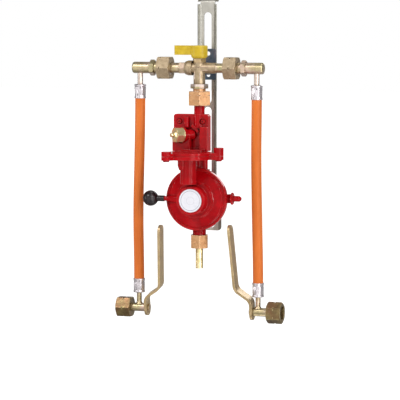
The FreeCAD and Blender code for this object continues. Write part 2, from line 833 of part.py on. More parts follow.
def make_banjo(side):
    foot_x = left_foot_x if side < 0 else right_foot_x
    near = side * (connector_in + lever_thickness / 2 + end_gap)
    far = side * (connector_nut_start + banjo_overlap - end_gap)
    stub_top = V(foot_x, tee_y, hose_bottom)
    pieces = [
        rod(banjo_diameter, V(near, tee_y, banjo_z), V(far, tee_y, banjo_z)),
        rod(foot_stub, V(foot_x, tee_y, banjo_z), stub_top),
        rod(hose_tail, V(foot_x, tee_y, banjo_z), stub_top + V(0, 0, hose_tail_length)),
        Part.makeCone(foot_stub_flare / 2, foot_stub / 2, 4.0,
                      V(foot_x, tee_y, banjo_z + banjo_diameter / 2 - 1.5), Z_AXIS),
    ]
    banjo = fuse(pieces)
    banjo = banjo.cut(rod(hose_tail - 3.0, V(foot_x, tee_y, banjo_z),
                          stub_top + V(0, 0, hose_tail_length + 1)))
    return banjo.cut(rod(spindle_diameter + 2 * turn_gap, V(near - side, tee_y, banjo_z),
                         V(far + side, tee_y, banjo_z)))


def connector_floor(side):
    """X of the bottom of the nut's hole."""
    hole_depth = connector_thread_length + connector_relief_length
    return side * (connector_nut_start + connector_nut_length - hole_depth)


def make_spindle(side):
    inner = side * (connector_in - lever_thickness / 2 - lever_nut_height - lever_screw_over)
    floor = connector_floor(side)
    nose_end = floor + side * spindle_nose_length
    shank = rod(spindle_diameter, V(inner, tee_y, banjo_z), V(floor, tee_y, banjo_z))
    nose = rod(spindle_nose, V(floor, tee_y, banjo_z), V(nose_end, tee_y, banjo_z))
    tip = Part.makeCone(spindle_nose / 2 - 1, spindle_diameter / 2, spindle_tip,
                        V(nose_end, tee_y, banjo_z), V(side, 0, 0))
    return fuse([shank, nose, tip])


def make_cylinder_nut(side):
    start = V(side * connector_nut_start, tee_y, banjo_z)
    end = V(side * (connector_nut_start + connector_nut_length), tee_y, banjo_z)
    corner = Y_AXIS if side < 0 else Z_AXIS
    nut = hex_nut(connector_flats, start, end, corner, 1.8)
    nut = nut.cut(corner_notches(connector_flats, (start + end) / 2, X_AXIS, notch_width))
    floor = V(connector_floor(side), tee_y, banjo_z)
    nut = nut.cut(rod(connector_thread, floor, end + V(side, 0, 0)))
    nut = nut.cut(rod(connector_relief, floor, floor + V(side * connector_relief_length, 0, 0)))
    recess = V(side * (connector_nut_start + banjo_overlap), tee_y, banjo_z)
    nut = nut.cut(rod(banjo_diameter + 2 * turn_gap, start - V(side, 0, 0), recess))
    return nut.cut(rod(spindle_diameter, start, floor + V(side, 0, 0)))


def lean(solid, side):
    """Turn a lever from upright to its resting lean."""
    angle = left_lean if side < 0 else right_lean
    solid.rotate(V(0, tee_y, banjo_z), X_AXIS, angle)
    return solid


def make_lever(side):
    strip = bent_strip(lever_points, lever_thickness, lever_width, lever_bend)
    top = lever_points[-1]
    strip.rotate(V(0, 0, 0), X_AXIS, 90)
    if side < 0:
        strip = strip.mirror(V(0, 0, 0), X_AXIS)
    strip.translate(V(side * connector_in, tee_y, banjo_z))
    reach = lever_width - top[0]
    round_z = banjo_z + top[1] - lever_width / 2
    round_end = rod(lever_width, V(side * connector_in - reach, tee_y, round_z),
                    V(side * connector_in + reach, tee_y, round_z))
    keep = box(V(side * connector_in - reach, tee_y - lever_width, banjo_z - lever_width),
               V(side * connector_in + reach, tee_y + lever_width, round_z))
    strip = strip.common(fuse([keep, round_end]))
    half = lever_thickness / 2
    plate_z = banjo_z - lever_plate_drop
    plate = rod(lever_plate, V(side * connector_in - half, tee_y, plate_z),
                V(side * connector_in + half, tee_y, plate_z))
    lever = fuse([plate, strip])
    lever = lever.cut(rod(spindle_diameter, V(side * connector_in - lever_thickness, tee_y, banjo_z),
                          V(side * connector_in + lever_thickness, tee_y, banjo_z)))
    return lean(lever, side)


def make_lever_nut(side):
    near = V(side * (connector_in - lever_thickness / 2), tee_y, banjo_z)
    far = near - V(side * lever_nut_height, 0, 0)
    nut = hex_nut(lever_nut_flats, near, far, Z_AXIS, 0.7)
    nut = nut.cut(rod(spindle_diameter, near + V(side, 0, 0), far - V(side, 0, 0)))
    return lean(nut, side)


# Regulator inlet

def make_inlet_nut():
    top = V(0, tee_y, inlet_nut_top - end_gap)
    shoulder = V(0, tee_y, inlet_nut_top - inlet_collar_height)
    bottom = V(0, tee_y, inlet_nut_bottom)
    seat = V(0, tee_y, inlet_seat_z() + nose_length + end_gap)
    hexagon = hex_nut(inlet_nut_flats, shoulder, bottom, facing_corner(), 2.2)
    nut = fuse([rod(inlet_collar, top, shoulder), hexagon])
    notch = shoulder - V(0, 0, inlet_notch_drop)
    nut = nut.cut(corner_notches(inlet_nut_flats, notch, Z_AXIS, inlet_notch_width))
    nut = nut.cut(rod(inlet_thread + 2 * turn_gap, bottom - Z_AXIS, seat))
    return nut.cut(rod(inlet_neck + 2 * turn_gap, seat - Z_AXIS, top + Z_AXIS))


def make_inlet_seal():
    seat = V(0, tee_y, inlet_seat_z())
    return ring(inlet_thread - 1.5, tee_passage + 2, seat - V(0, 0, seal_thickness), seat)


# First stage

def lug_centre(angle, reach):
    return V(flange_x + reach * math.cos(math.radians(angle)),
             flange_y + reach * math.sin(math.radians(angle)), 0)


def flange_half(low, high, raised):
    """Round flange with three screw lugs between two heights; raised lugs stand above it."""
    centre = V(flange_x, flange_y, 0)
    pieces = [rod(flange_diameter, centre + V(0, 0, low), centre + V(0, 0, high))]
    for angle, reach, height in lugs:
        lug = lug_centre(angle, reach)
        lug_top = flange_seam + height if raised else high
        pieces.append(rod(2 * lug_radius, lug + V(0, 0, low), lug + V(0, 0, lug_top)))
        web = box(V(0, -lug_radius, low), V(reach, lug_radius, high))
        web.rotate(V(0, 0, 0), Z_AXIS, angle)
        web.translate(centre)
        pieces.append(web)
    return fuse(pieces)


def make_inlet_body():
    back = forward(-plate_depth / 2)
    front = forward(plate_depth / 2)
    plate = box(V(-plate_left, front, plate_bottom), V(plate_right, back, plate_top))
    plate = plate.makeFillet(plate_corner, edges_at(plate, Y_AXIS, [
        V(-plate_left, 0, plate_top), V(plate_right, 0, plate_top)]))
    plug_z = plate_top - plug_drop
    plug_seat = V(plug_seat_x, forward(plug_seat_forward), plug_z)
    inward = V(1, 1, 0)
    inward.normalize()
    collar_back = plug_seat + inward * plug_collar_height
    rib_length = rib_run * math.sqrt(2)
    rib = box(V(0, 0, -rib_width / 2), V(rib_length, plate_depth / 2 + rib_depth, rib_width / 2))
    rib.rotate(V(0, 0, 0), Y_AXIS, 45)
    rib.translate(V(-rib_start, front - rib_depth, plate_top - rib_drop))
    block_low = V(-left_block_left, front - left_block_depth, plate_bottom)
    block_high = V(-left_block_left + left_block_width, tee_y, plate_bottom + left_block_height)
    pieces = [
        plate,
        rod(inlet_neck, V(0, tee_y, plate_top - neck_root), V(0, tee_y, inlet_nut_bottom)),
        rod(inlet_thread, V(0, tee_y, inlet_nut_bottom + 0.5),
            V(0, tee_y, inlet_nut_bottom + inlet_thread_length)),
        rod(inlet_neck, V(0, tee_y, inlet_nut_bottom),
            V(0, tee_y, inlet_nut_bottom + inlet_thread_length)),
        rod(inlet_neck, V(0, forward(neck_rib_forward), plate_top),
            V(0, forward(neck_rib_forward), plate_top - neck_rib_length)),
        box(block_low, block_high),
        box(V(right_column_left, front - right_column_depth, plate_bottom),
            V(plate_right, tee_y, plate_bottom + right_column_height)),
        rod(2 * boss_radius, V(boss_x, front - boss_forward, plate_top - boss_top),
            V(boss_x, front - boss_forward, plate_top - boss_top - boss_height)),
        rod(plug_seat_diameter, plug_seat, collar_back),
        rod(plug_boss, plug_seat, collar_back + inward * plug_boss_length),
        rib,
        flange_half(flange_seam, plate_bottom, True),
        box(V(flange_x - bridge_width / 2, flange_y + bridge_forward, flange_seam),
            V(flange_x + bridge_width / 2, tee_y, plate_bottom + bridge_rise)),
    ]
    link_y = forward(link_forward)
    for x in link_xs:
        pieces.append(rod(2 * link_radius, V(x, link_y, plate_bottom + 2), V(x, link_y, link_bottom())))
    pieces.append(box(V(link_xs[0], link_y - link_web, link_bottom()),
                      V(link_xs[1], link_y + link_web, plate_bottom + 2)))
    body = fuse(pieces)
    body = body.cut(rod(plug_seat_diameter + plug_recess_gap, plug_seat, plug_seat - inward * plate_left))
    body = body.cut(box(V(recess_left, front - 1, plate_bottom + recess_up),
                        V(recess_left + recess_width, front + recess_depth,
                          plate_bottom + recess_up + recess_height)))
    body = body.cut(rod(tee_passage + 2, V(0, tee_y, plate_bottom + inlet_passage_rise),
                        V(0, tee_y, inlet_nut_bottom + inlet_thread_length + 1)))
    body = body.cut(rod(plug_thread + turn_gap, plug_seat - inward,
                        plug_seat + inward * (plug_thread_length + 1)))
    centre = V(flange_x, flange_y, 0)
    body = body.cut(rod(chamber_diameter, centre + V(0, 0, flange_seam - 1),
                        centre + V(0, 0, flange_seam + chamber_depth)))
    for angle, reach, height in lugs:
        lug = lug_centre(angle, reach)
        body = body.cut(rod(flange_screw + turn_gap, lug + V(0, 0, flange_seam - 1),
                            lug + V(0, 0, flange_seam + height - 2)))
    for x in body_screw_xs:
        z = plate_top - body_screw_drop
        hole_end = V(x, front + body_screw_depth, z)
        body = body.cut(rod(body_screw_shank + turn_gap, V(x, front - 1, z), hole_end))
        body = body.cut(rod(body_screw_head + 2, V(x, front - left_block_depth, z),
                            V(x, front + body_screw_floor, z)))
    return body


def link_bottom():
    """Height of the seam between the link from the first stage and the second stage's pad."""
    return body_z + rear_diameter / 2 + link_seam_rise


def make_flange_screws():
    screws = []
    for angle, reach, height in lugs:
        lug = lug_centre(angle, reach)
        head_top = lug + V(0, 0, bonnet_bottom)
        head = hex_nut(flange_screw_head, head_top, head_top - V(0, 0, flange_screw_head_height), Y_AXIS, 0.6)
        shank = rod(flange_screw, head_top, lug + V(0, 0, flange_seam + height - 2.5))
        screws.append(fuse([head, shank]))
    return Part.makeCompound(screws)


def make_body_screws():
    screws = []
    seat = forward(plate_depth / 2) + 0.8
    for x in body_screw_xs:
        z = plate_top - body_screw_drop
        head = turned([(0, 0), (body_screw_head / 2, 0), (body_screw_head / 2, 1.6),
                       (body_screw_head / 2 - 1.2, body_screw_height), (0, body_screw_height)],
                      V(x, seat, z), V(0, -1, 0))
        slot = rod(3.4, V(x, seat - body_screw_height - 1, z), V(x, seat - body_screw_height + 1.4, z))
        shank = rod(body_screw_shank, V(x, seat, z), V(x, seat + 5.5, z))
        screws.append(fuse([head.cut(slot), shank]))
    return Part.makeCompound(screws)


def make_test_plug():
    outward = V(-1, -1, 0)
    outward.normalize()
    seat = V(plug_seat_x, forward(plug_seat_forward), plate_top - plug_drop)
    end = seat + outward * plug_hex_length
    pieces = [
        hex_nut(plug_flats, seat + outward * 1.2, end, V(-1, 1, 0), 2.0),
        rod(plug_flats + 1, seat, seat + outward * 1.2),
        turned([(0, 0), (plug_flats / 2 - 2.6, 0), (plug_nipple / 2 + 1.0, plug_cone), (0, plug_cone)],
               end, outward),
        rod(plug_nipple, end, end + outward * (plug_cone + plug_nipple_length)),
        rod(plug_thread, seat, seat - outward * plug_thread_length),
    ]
    return fuse(pieces)


def make_first_stage_diaphragm():
    centre = V(flange_x, flange_y, 0)
    top = centre + V(0, 0, flange_seam)
    bottom = top - V(0, 0, first_diaphragm_thickness)
    sheet = rod(first_diaphragm_diameter, top, bottom)
    return sheet.cut(rod(valve_stem + 4 * turn_gap, top + Z_AXIS, bottom - Z_AXIS))


def bonnet_chamber_floor():
    return bonnet_bottom + 1.2


def make_first_stage_bonnet():
    centre = V(flange_x, flange_y, 0)
    top = flange_seam - flange_gap
    recess = flange_seam - first_diaphragm_thickness
    housing_bottom = bonnet_bottom - housing_length
    vent = centre + V(-vent_boss_left, -vent_boss_forward, 0)
    bonnet = fuse([
        flange_half(bonnet_bottom, top, False),
        rod(housing_diameter, centre + V(0, 0, bonnet_bottom + 1), centre + V(0, 0, housing_bottom)),
        rod(vent_boss_diameter, vent + V(0, 0, bonnet_bottom + 1),
            vent + V(0, 0, bonnet_bottom - vent_boss_length)),
        turned([(0, 0), (vent_boss_diameter / 2, 0), (vent_boss_tip / 2, vent_boss_cone),
                (0, vent_boss_cone)],
               vent + V(0, 0, bonnet_bottom - vent_boss_length), V(0, 0, -1)),
    ])
    bonnet = bonnet.cut(rod(chamber_diameter, centre + V(0, 0, bonnet_chamber_floor()),
                            centre + V(0, 0, top + 1)))
    bonnet = bonnet.cut(rod(first_diaphragm_diameter + turn_gap, centre + V(0, 0, recess),
                            centre + V(0, 0, top + 1)))
    bore = housing_diameter - 2 * housing_wall
    bonnet = bonnet.cut(rod(bore, centre + V(0, 0, housing_bottom + housing_wall), centre + V(0, 0, top)))
    vent_bottom = bonnet_bottom - vent_boss_length - vent_boss_cone
    vent_hole = rod(4.0, vent + V(0, 0, vent_bottom - 1), vent + V(0, 0, vent_bottom + 5))
    bonnet = bonnet.cut(vent_hole)
    for angle, reach, height in lugs:
        lug = lug_centre(angle, reach)
        bonnet = bonnet.cut(rod(flange_screw + turn_gap, lug + V(0, 0, bonnet_bottom - 1),
                                lug + V(0, 0, top + 1)))
    return bonnet


def make_first_stage_valve():
    centre = V(flange_x, flange_y, 0)
    plate_upper = flange_seam - first_diaphragm_thickness - end_gap
    upper = centre + V(0, 0, plate_upper)
    plate = rod(valve_plate, upper, upper - V(0, 0, valve_plate_thickness))
    stem = rod(valve_stem, upper, centre + V(0, 0, flange_seam + chamber_depth - 0.6))
    return fuse([plate, stem])


def make_first_stage_spring():
    top = flange_seam - first_diaphragm_thickness - end_gap - valve_plate_thickness
    bottom = bonnet_bottom - housing_length + housing_wall
    spring = coil(first_spring_radius, first_spring_wire, first_spring_turns, top - bottom)
    spring.translate(V(flange_x, flange_y, bottom))
    return spring


# Second stage

def make_rear_housing():
    centre = V(0, tee_y, body_z)
    rear = rear_diameter / 2
    rim = body_radius - rim_wall - turn_gap * 4
    depth = rim_front + rear_back
    inside = rear - chamber_wall
    outline = [(0, 0), (rear - rear_chamfer, 0), (rear, rear_chamfer), (rear, depth - rim_height),
               (rim, depth - rim_height), (rim, depth)]
    hollow = [(inside, housing_floor + chamber_corner), (inside - chamber_corner, housing_floor),
              (0, housing_floor)]
    shell = turned(outline + [(inside, depth)] + hollow, centre + V(0, rear_back, 0), V(0, -1, 0))
    chamber = turned([(0, depth + 1), (inside, depth + 1)] + hollow,
                     centre + V(0, rear_back, 0), V(0, -1, 0))
    neck_top = centre - V(0, 0, rear / 2)
    neck_bottom = centre - V(0, 0, body_radius + outlet_neck_length)
    thread_bottom = neck_bottom - V(0, 0, outlet_thread_length)
    neck = rod(outlet_neck, neck_top, neck_bottom)
    thread = rod(outlet_thread, neck_bottom, thread_bottom)
    link_y = forward(link_forward)
    side = link_radius + link_pad_side
    pad = box(V(link_xs[0] - side, link_y - link_pad / 2, link_bottom() - link_pad_height),
              V(link_xs[1] + side, link_y + link_pad / 2, link_bottom()))
    relief = V(relief_end, forward(relief_forward), relief_z())
    boss = rod(relief_boss, relief - V(relief_boss_reach, 0, 0), relief)
    housing = fuse([shell, neck.cut(chamber), thread, pad.cut(chamber), boss.cut(chamber)])
    housing = housing.cut(rod(relief_thread + turn_gap, relief + X_AXIS,
                              relief - V(relief_thread_length + 0.4, 0, 0)))
    housing = housing.cut(rod(outlet_tube_neck + turn_gap, thread_bottom - Z_AXIS,
                              thread_bottom + V(0, 0, 5.0)))
    housing = housing.cut(rod(outlet_tube - 2 * outlet_tube_wall, thread_bottom, neck_top))
    return housing


def make_front_cover():
    centre = V(0, tee_y, body_z)
    seat = rim_front + second_diaphragm_thickness
    inner_rim = body_radius - rim_wall
    cap_bore = cap_diameter / 2 - cap_wall - 2.0
    front = cover_steps[-1][1]
    outside = [(0, cover_rim), (body_radius - 0.8, cover_rim), (body_radius, cover_rim + 0.8),
               (body_radius, 16.8), (body_radius - 1.2, 18.2)] + cover_steps + [(0, front)]
    pocket = turned([(0, seat - 1), (cover_pocket[0][0], seat - 1)] + cover_pocket
                    + [(cap_bore, cover_pocket[-1][1] + 1.2), (cap_bore, front + 1), (0, front + 1)],
                    centre, V(0, -1, 0))
    arm = turned([(0, 0), (reset_tip / 2, 0), (reset_tip / 2, reset_tip_length),
                  (reset_arm / 2, reset_arm_end + reset_sleeve - cap_diameter / 2 - 3.0),
                  (reset_arm / 2, reset_arm_end + reset_sleeve - cap_diameter / 2 + 1.0),
                  (0, reset_arm_end + reset_sleeve - cap_diameter / 2 + 1.0)],
                 V(-reset_arm_end - reset_sleeve, forward(reset_forward), reset_z()), X_AXIS)
    rim_room = rod(2 * inner_rim, V(0, forward(cover_rim - 3), body_z), V(0, forward(seat), body_z))
    neck_room = rod(outlet_neck + 4 * turn_gap, centre, centre - V(0, 0, body_radius + 1))
    cover = fuse([turned(outside, centre, V(0, -1, 0)), arm]).cut(pocket).cut(rim_room).cut(neck_room)
    thread = ring(cap_thread_diameter(), 2 * cap_bore, V(0, forward(front - 2), body_z),
                  V(0, forward(front + cap_thread_length), body_z))
    return fuse([cover, thread])


def reset_z():
    return body_z + reset_rise


def cap_thread_diameter():
    """Outside of the cover's short threaded neck, inside the cap."""
    return cap_diameter - 2 * cap_wall


def make_bonnet_cap():
    back = cover_steps[-1][1]
    front = cap_front
    radius = cap_diameter / 2
    cap = turned([(0, 0), (radius, 0), (radius, front - back - 1.5), (radius - 1.5, front - back),
                  (0, front - back)], V(0, forward(back), body_z), V(0, -1, 0))
    cap = cap.cut(rod(cap_thread_diameter() + 2 * turn_gap, V(0, forward(back - 1), body_z),
                      V(0, forward(back + cap_thread_length + 0.5), body_z)))
    inside = 2 * (radius - cap_wall - 2.0)
    cap = cap.cut(rod(inside, V(0, forward(back), body_z), V(0, forward(front - cap_face), body_z)))
    return cap.cut(rod(label_diameter + 2 * turn_gap, V(0, forward(front - label_sink), body_z),
                       V(0, forward(front + 1), body_z)))


def make_label_disc():
    back = cap_front - label_sink
    return rod(label_diameter, V(0, forward(back), body_z), V(0, forward(back + label_thickness), body_z))


def make_second_stage_diaphragm():
    back = V(0, forward(rim_front), body_z)
    front = V(0, forward(rim_front + second_diaphragm_thickness), body_z)
    sheet = rod(2 * (body_radius - rim_wall) - 0.6, back, front)
    return sheet.cut(rod(piston_stem + 4 * turn_gap, back + Y_AXIS, front - Y_AXIS))


def make_diaphragm_plate():
    back = rim_front + second_diaphragm_thickness + end_gap
    plate = rod(piston_diameter, V(0, forward(back), body_z), V(0, forward(back + piston_thickness), body_z))
    stem_back = back - piston_stem_length
    stem = rod(piston_stem, V(0, forward(back), body_z), V(0, forward(stem_back), body_z))
    lever_y = forward(0)
    half = stem_slot / 2
    slot = box(V(-half, lever_y - half, body_z - piston_stem), V(half, lever_y + half, body_z + 3.0))
    return fuse([plate, stem]).cut(slot)


def make_valve_lever():
    pivot = V(0, tee_y, body_z - seat_lever_length)
    half = seat_lever_size / 2
    bar = box(pivot + V(-half, -half, 0), pivot + V(half, half, seat_lever_length + half))
    tips = [pivot + V(0, -half, seat_lever_length + half), pivot + V(0, half, seat_lever_length + half)]
    bar = bar.makeFillet(half * 0.95, edges_at(bar, X_AXIS, tips))
    hub = rod(seat_hub, pivot - V(half, 0, 0), pivot + V(half, 0, 0))
    lever = fuse([bar, hub])
    return lever.cut(rod(seat_pin + 2 * turn_gap, pivot - V(half + 1, 0, 0), pivot + V(half + 1, 0, 0)))


def make_orifice_seat():
    pivot = V(0, tee_y, body_z - seat_lever_length)
    floor_y = tee_y + rear_back - housing_floor
    inner = seat_ear_gap / 2
    outer = inner + seat_ear_thickness
    pieces = []
    for side in (-1, 1):
        low = V(min(side * inner, side * outer), tee_y - seat_hub / 2, pivot.z - seat_hub / 2)
        high = V(max(side * inner, side * outer), floor_y, pivot.z + seat_hub / 2)
        pieces.append(box(low, high))
    base = box(V(-outer, floor_y - 4.0, pivot.z - seat_hub / 2), V(outer, floor_y, pivot.z + seat_hub / 2))
    pin = rod(seat_pin, pivot - V(outer, 0, 0), pivot + V(outer, 0, 0))
    return fuse(pieces + [base, pin])


def make_main_spring():
    start = rim_front + second_diaphragm_thickness + end_gap + piston_thickness
    end = cap_front - cap_face - piston_travel - end_gap
    spring = coil(main_spring_radius, main_spring_wire, main_spring_turns, end - start)
    spring.rotate(V(0, 0, 0), X_AXIS, 90)
    spring.translate(V(0, forward(start), body_z))
    return spring


def outlet_levels():
    neck_bottom = body_z - body_radius - outlet_neck_length
    return neck_bottom, neck_bottom - outlet_thread_length, neck_bottom - outlet_nut_height


def make_outlet_nut():
    top, thread_bottom, bottom = outlet_levels()
    start = V(0, tee_y, top - end_gap)
    end = V(0, tee_y, bottom)
    seat = V(0, tee_y, thread_bottom - outlet_olive_height - end_gap)
    nut = hex_nut(outlet_nut_flats, start, end, facing_corner(), 1.4)
    nut = nut.cut(rod(outlet_thread + 2 * turn_gap, start + Z_AXIS, seat))
    return nut.cut(rod(outlet_tube + 2 * turn_gap, seat + Z_AXIS, end - Z_AXIS))


def make_outlet_tube():
    top, thread_bottom, bottom = outlet_levels()
    start = V(0, tee_y, thread_bottom + 5.0)
    shown = V(0, tee_y, bottom)
    end = V(0, tee_y, bottom - outlet_tube_drop)
    tube = fuse([rod(outlet_tube_neck, start, shown), rod(outlet_tube, shown, end)])
    return tube.cut(rod(outlet_tube - 2 * outlet_tube_wall, start + Z_AXIS, end - Z_AXIS))


def make_outlet_olive():
    top, thread_bottom, bottom = outlet_levels()
    start = V(0, tee_y, thread_bottom)
    end = V(0, tee_y, thread_bottom - outlet_olive_height)
    return ring(outlet_olive, outlet_tube_neck, start, end)


# Reset knob and relief valve

def make_reset_knob():
    """Ball with a sleeve that slides over the arm's end."""
    open_end = V(-reset_arm_end, forward(reset_forward), reset_z())
    centre = open_end - V(reset_shaft_show + knob_diameter / 2 - 1.0, 0, 0)
    floor = open_end - V(reset_sleeve + reset_travel + 0.6, 0, 0)
    knob = fuse([Part.makeSphere(knob_diameter / 2, centre), rod(reset_shaft, open_end, centre)])
    return knob.cut(rod(reset_tip + 4 * turn_gap, open_end + X_AXIS, floor))


def make_relief_valve():
    start = V(relief_end, forward(relief_forward), relief_z())
    hex_end = start + V(relief_hex_length, 0, 0)
    flange = relief_flange / 2
    tip = relief_nipple / 2
    end = relief_flange_height + relief_nipple_length
    head = turned([(0, 0), (flange - 1.6, 0), (flange, 1.2), (flange, relief_flange_height - 0.8),
                   (flange - 0.8, relief_flange_height), (tip, relief_flange_height), (tip, end - 3.0),
                   (tip - 1.2, end - 0.9), (tip - 2.4, end), (0, end)], hex_end, X_AXIS)
    return fuse([
        hex_nut(relief_flats, start, hex_end, Y_AXIS, 0.7),
        head,
        rod(relief_thread, start - V(relief_thread_length, 0, 0), start),
    ])


def relief_z():
    return body_z + relief_rise


def sides_of(name, maker, *values):
    """The left and the right copy of a piece, as two named pieces."""
    return {"left_" + name: maker(-1, *values), "right_" + name: maker(1, *values)}


def make_pieces():
    pieces = {
        "wall_rail": make_wall_rail(),
        "saddle_plate": make_saddle_plate(),
        "clamp_washer": make_clamp_washer(),
        "clamp_screw": make_clamp_screw(),
        "tee_body": make_tee_body(),
        "gland_nut": make_gland_nut(),
        "changeover_plug": make_changeover_plug(),
        "changeover_lever": make_changeover_lever(),
        "lever_screw": make_lever_screw(),
        "tee_lock_nut": make_tee_lock_nut(),
        "union_seals": Part.makeCompound([make_union_seal(-1), make_union_seal(1)]),
        "inlet_nut": make_inlet_nut(),
        "inlet_seal": make_inlet_seal(),
        "inlet_body": make_inlet_body(),
        "test_plug": make_test_plug(),
        "body_screws": make_body_screws(),
        "flange_screws": make_flange_screws(),
        "first_stage_diaphragm": make_first_stage_diaphragm(),
        "first_stage_bonnet": make_first_stage_bonnet(),
        "first_stage_valve": make_first_stage_valve(),
        "first_stage_spring": make_first_stage_spring(),
        "rear_housing": make_rear_housing(),
        "front_cover": make_front_cover(),
        "bonnet_cap": make_bonnet_cap(),
        "label_disc": make_label_disc(),
        "second_stage_diaphragm": make_second_stage_diaphragm(),
        "diaphragm_plate": make_diaphragm_plate(),
        "valve_lever": make_valve_lever(),
        "orifice_seat": make_orifice_seat(),
        "main_spring": make_main_spring(),
        "outlet_nut": make_outlet_nut(),
        "outlet_tube": make_outlet_tube(),
        "outlet_olive": make_outlet_olive(),
        "reset_knob": make_reset_knob(),
        "relief_valve": make_relief_valve(),
    }
    pieces.update(sides_of("tailpiece", make_tailpiece))
    pieces.update(sides_of("union_nut", make_union_nut))
    pieces.update(sides_of("elbow", make_elbow))
    pieces.update(sides_of("hose", make_hose))
    pieces.update(sides_of("banjo", make_banjo))
    pieces.update(sides_of("spindle", make_spindle))
    pieces.update(sides_of("cylinder_nut", make_cylinder_nut))
    pieces.update(sides_of("lever", make_lever))
    pieces.update(sides_of("lever_nut", make_lever_nut))
    for side, top_x, foot_x in (("left", left_hose_x, left_foot_x), ("right", right_hose_x, right_foot_x)):
        pieces[side + "_upper_ferrule"] = make_ferrule(top_x, ferrule_top, True)
        pieces[side + "_lower_ferrule"] = make_ferrule(foot_x, lower_ferrule_bottom, False)
    return pieces


os.makedirs("parts", exist_ok=True)
for name, shape in make_pieces().items():
    if not shape.isValid():
        print("not valid:", name)
    print("%-24s %d solids %10.1f mm3" % (name, len(shape.Solids), shape.Volume))
    shape.exportStep("parts/%s.step" % name)
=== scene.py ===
import json
import math

import bpy
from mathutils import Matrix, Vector


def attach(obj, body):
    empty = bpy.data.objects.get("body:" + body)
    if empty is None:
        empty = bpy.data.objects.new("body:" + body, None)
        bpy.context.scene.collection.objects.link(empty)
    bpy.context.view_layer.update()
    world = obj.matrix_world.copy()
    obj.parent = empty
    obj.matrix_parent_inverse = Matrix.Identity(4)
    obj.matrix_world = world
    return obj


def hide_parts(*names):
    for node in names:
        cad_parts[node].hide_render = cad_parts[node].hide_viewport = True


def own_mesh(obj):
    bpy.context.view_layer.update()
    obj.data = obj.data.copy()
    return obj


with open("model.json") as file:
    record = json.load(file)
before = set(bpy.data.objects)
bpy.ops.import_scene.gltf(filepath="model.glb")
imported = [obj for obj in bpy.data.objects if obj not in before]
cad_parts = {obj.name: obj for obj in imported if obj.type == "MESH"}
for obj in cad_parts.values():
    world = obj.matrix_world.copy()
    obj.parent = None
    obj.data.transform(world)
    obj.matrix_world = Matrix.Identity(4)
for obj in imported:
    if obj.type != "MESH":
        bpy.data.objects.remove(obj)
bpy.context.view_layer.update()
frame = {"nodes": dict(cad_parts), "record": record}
nodes = frame["nodes"]

# Places shared with the model, in metres
tee = Vector((0.0, -0.063, 0.0603))
second_stage = Vector((0.0, -0.063, -0.1452))
rail_web_half = 0.0118
elbow_stub = (0.0420, 0.0105)   # middle and half height
tee_arm = 0.0085                # radii of the tee's arm and of its branch
tee_branch = 0.00925
ferrule_top = 0.0341            # of the upper ferrules
ferrule_foot = -0.2980          # lower end of the lower ones
hose_diameter = 0.0163
hose_smoothness = 16            # steps of the curve between two points
hose_roundness = 10
hose_routes = {
    "left": [(-0.0985, -0.0630, 0.0316), (-0.0985, -0.0630, -0.0116), (-0.0999, -0.0640, -0.0862),
             (-0.1020, -0.0646, -0.1712), (-0.1010, -0.0630, -0.2523), (-0.1010, -0.0630, -0.2955)],
    "right": [(0.0940, -0.0630, 0.0316), (0.0940, -0.0630, -0.0103), (0.0934, -0.0638, -0.0812),
              (0.0955, -0.0647, -0.1777), (0.0969, -0.0630, -0.2536), (0.0969, -0.0630, -0.2955)],
}

# The photograph's view
view_azimuth = math.radians(18.0)
view_elevation = math.radians(5.0)
view_distance = 3.5             # to the tee's axis
picture_pixels = 400
pixel_size = 0.00157            # at the tee's axis
tee_pixel = (199.4, 68.0)
sensor_width = 36.0
sight_reach = 50.0              # the furthest that the camera shows


def place_camera():
    right = Vector((math.cos(view_azimuth), math.sin(view_azimuth), 0.0))
    ahead = Vector((-math.sin(view_azimuth) * math.cos(view_elevation),
                    math.cos(view_azimuth) * math.cos(view_elevation), -math.sin(view_elevation)))
    up = right.cross(ahead)
    centre = picture_pixels / 2
    across = (tee_pixel[0] - centre) * pixel_size
    above = (centre - tee_pixel[1]) * pixel_size
    data = bpy.data.cameras.new("view")
    data.sensor_width = sensor_width
    data.lens = sensor_width * view_distance / (picture_pixels * pixel_size)
    data.clip_end = sight_reach
    camera = bpy.data.objects.new("view", data)
    camera.location = tee - ahead * view_distance - right * across - up * above
    camera.rotation_euler = ahead.to_track_quat("-Z", "Y").to_euler()
    bpy.context.scene.collection.objects.link(camera)
    bpy.context.scene.camera = camera


place_camera()


# Colour and node helpers

def colour(red, green, blue):
    """Linear colour from the 0 to 255 values of a screen colour."""
    linear = []
    for value in (red, green, blue):
        share = value / 255
        linear.append(share / 12.92 if share <= 0.04045 else ((share + 0.055) / 1.055) ** 2.4)
    return (*linear, 1.0)


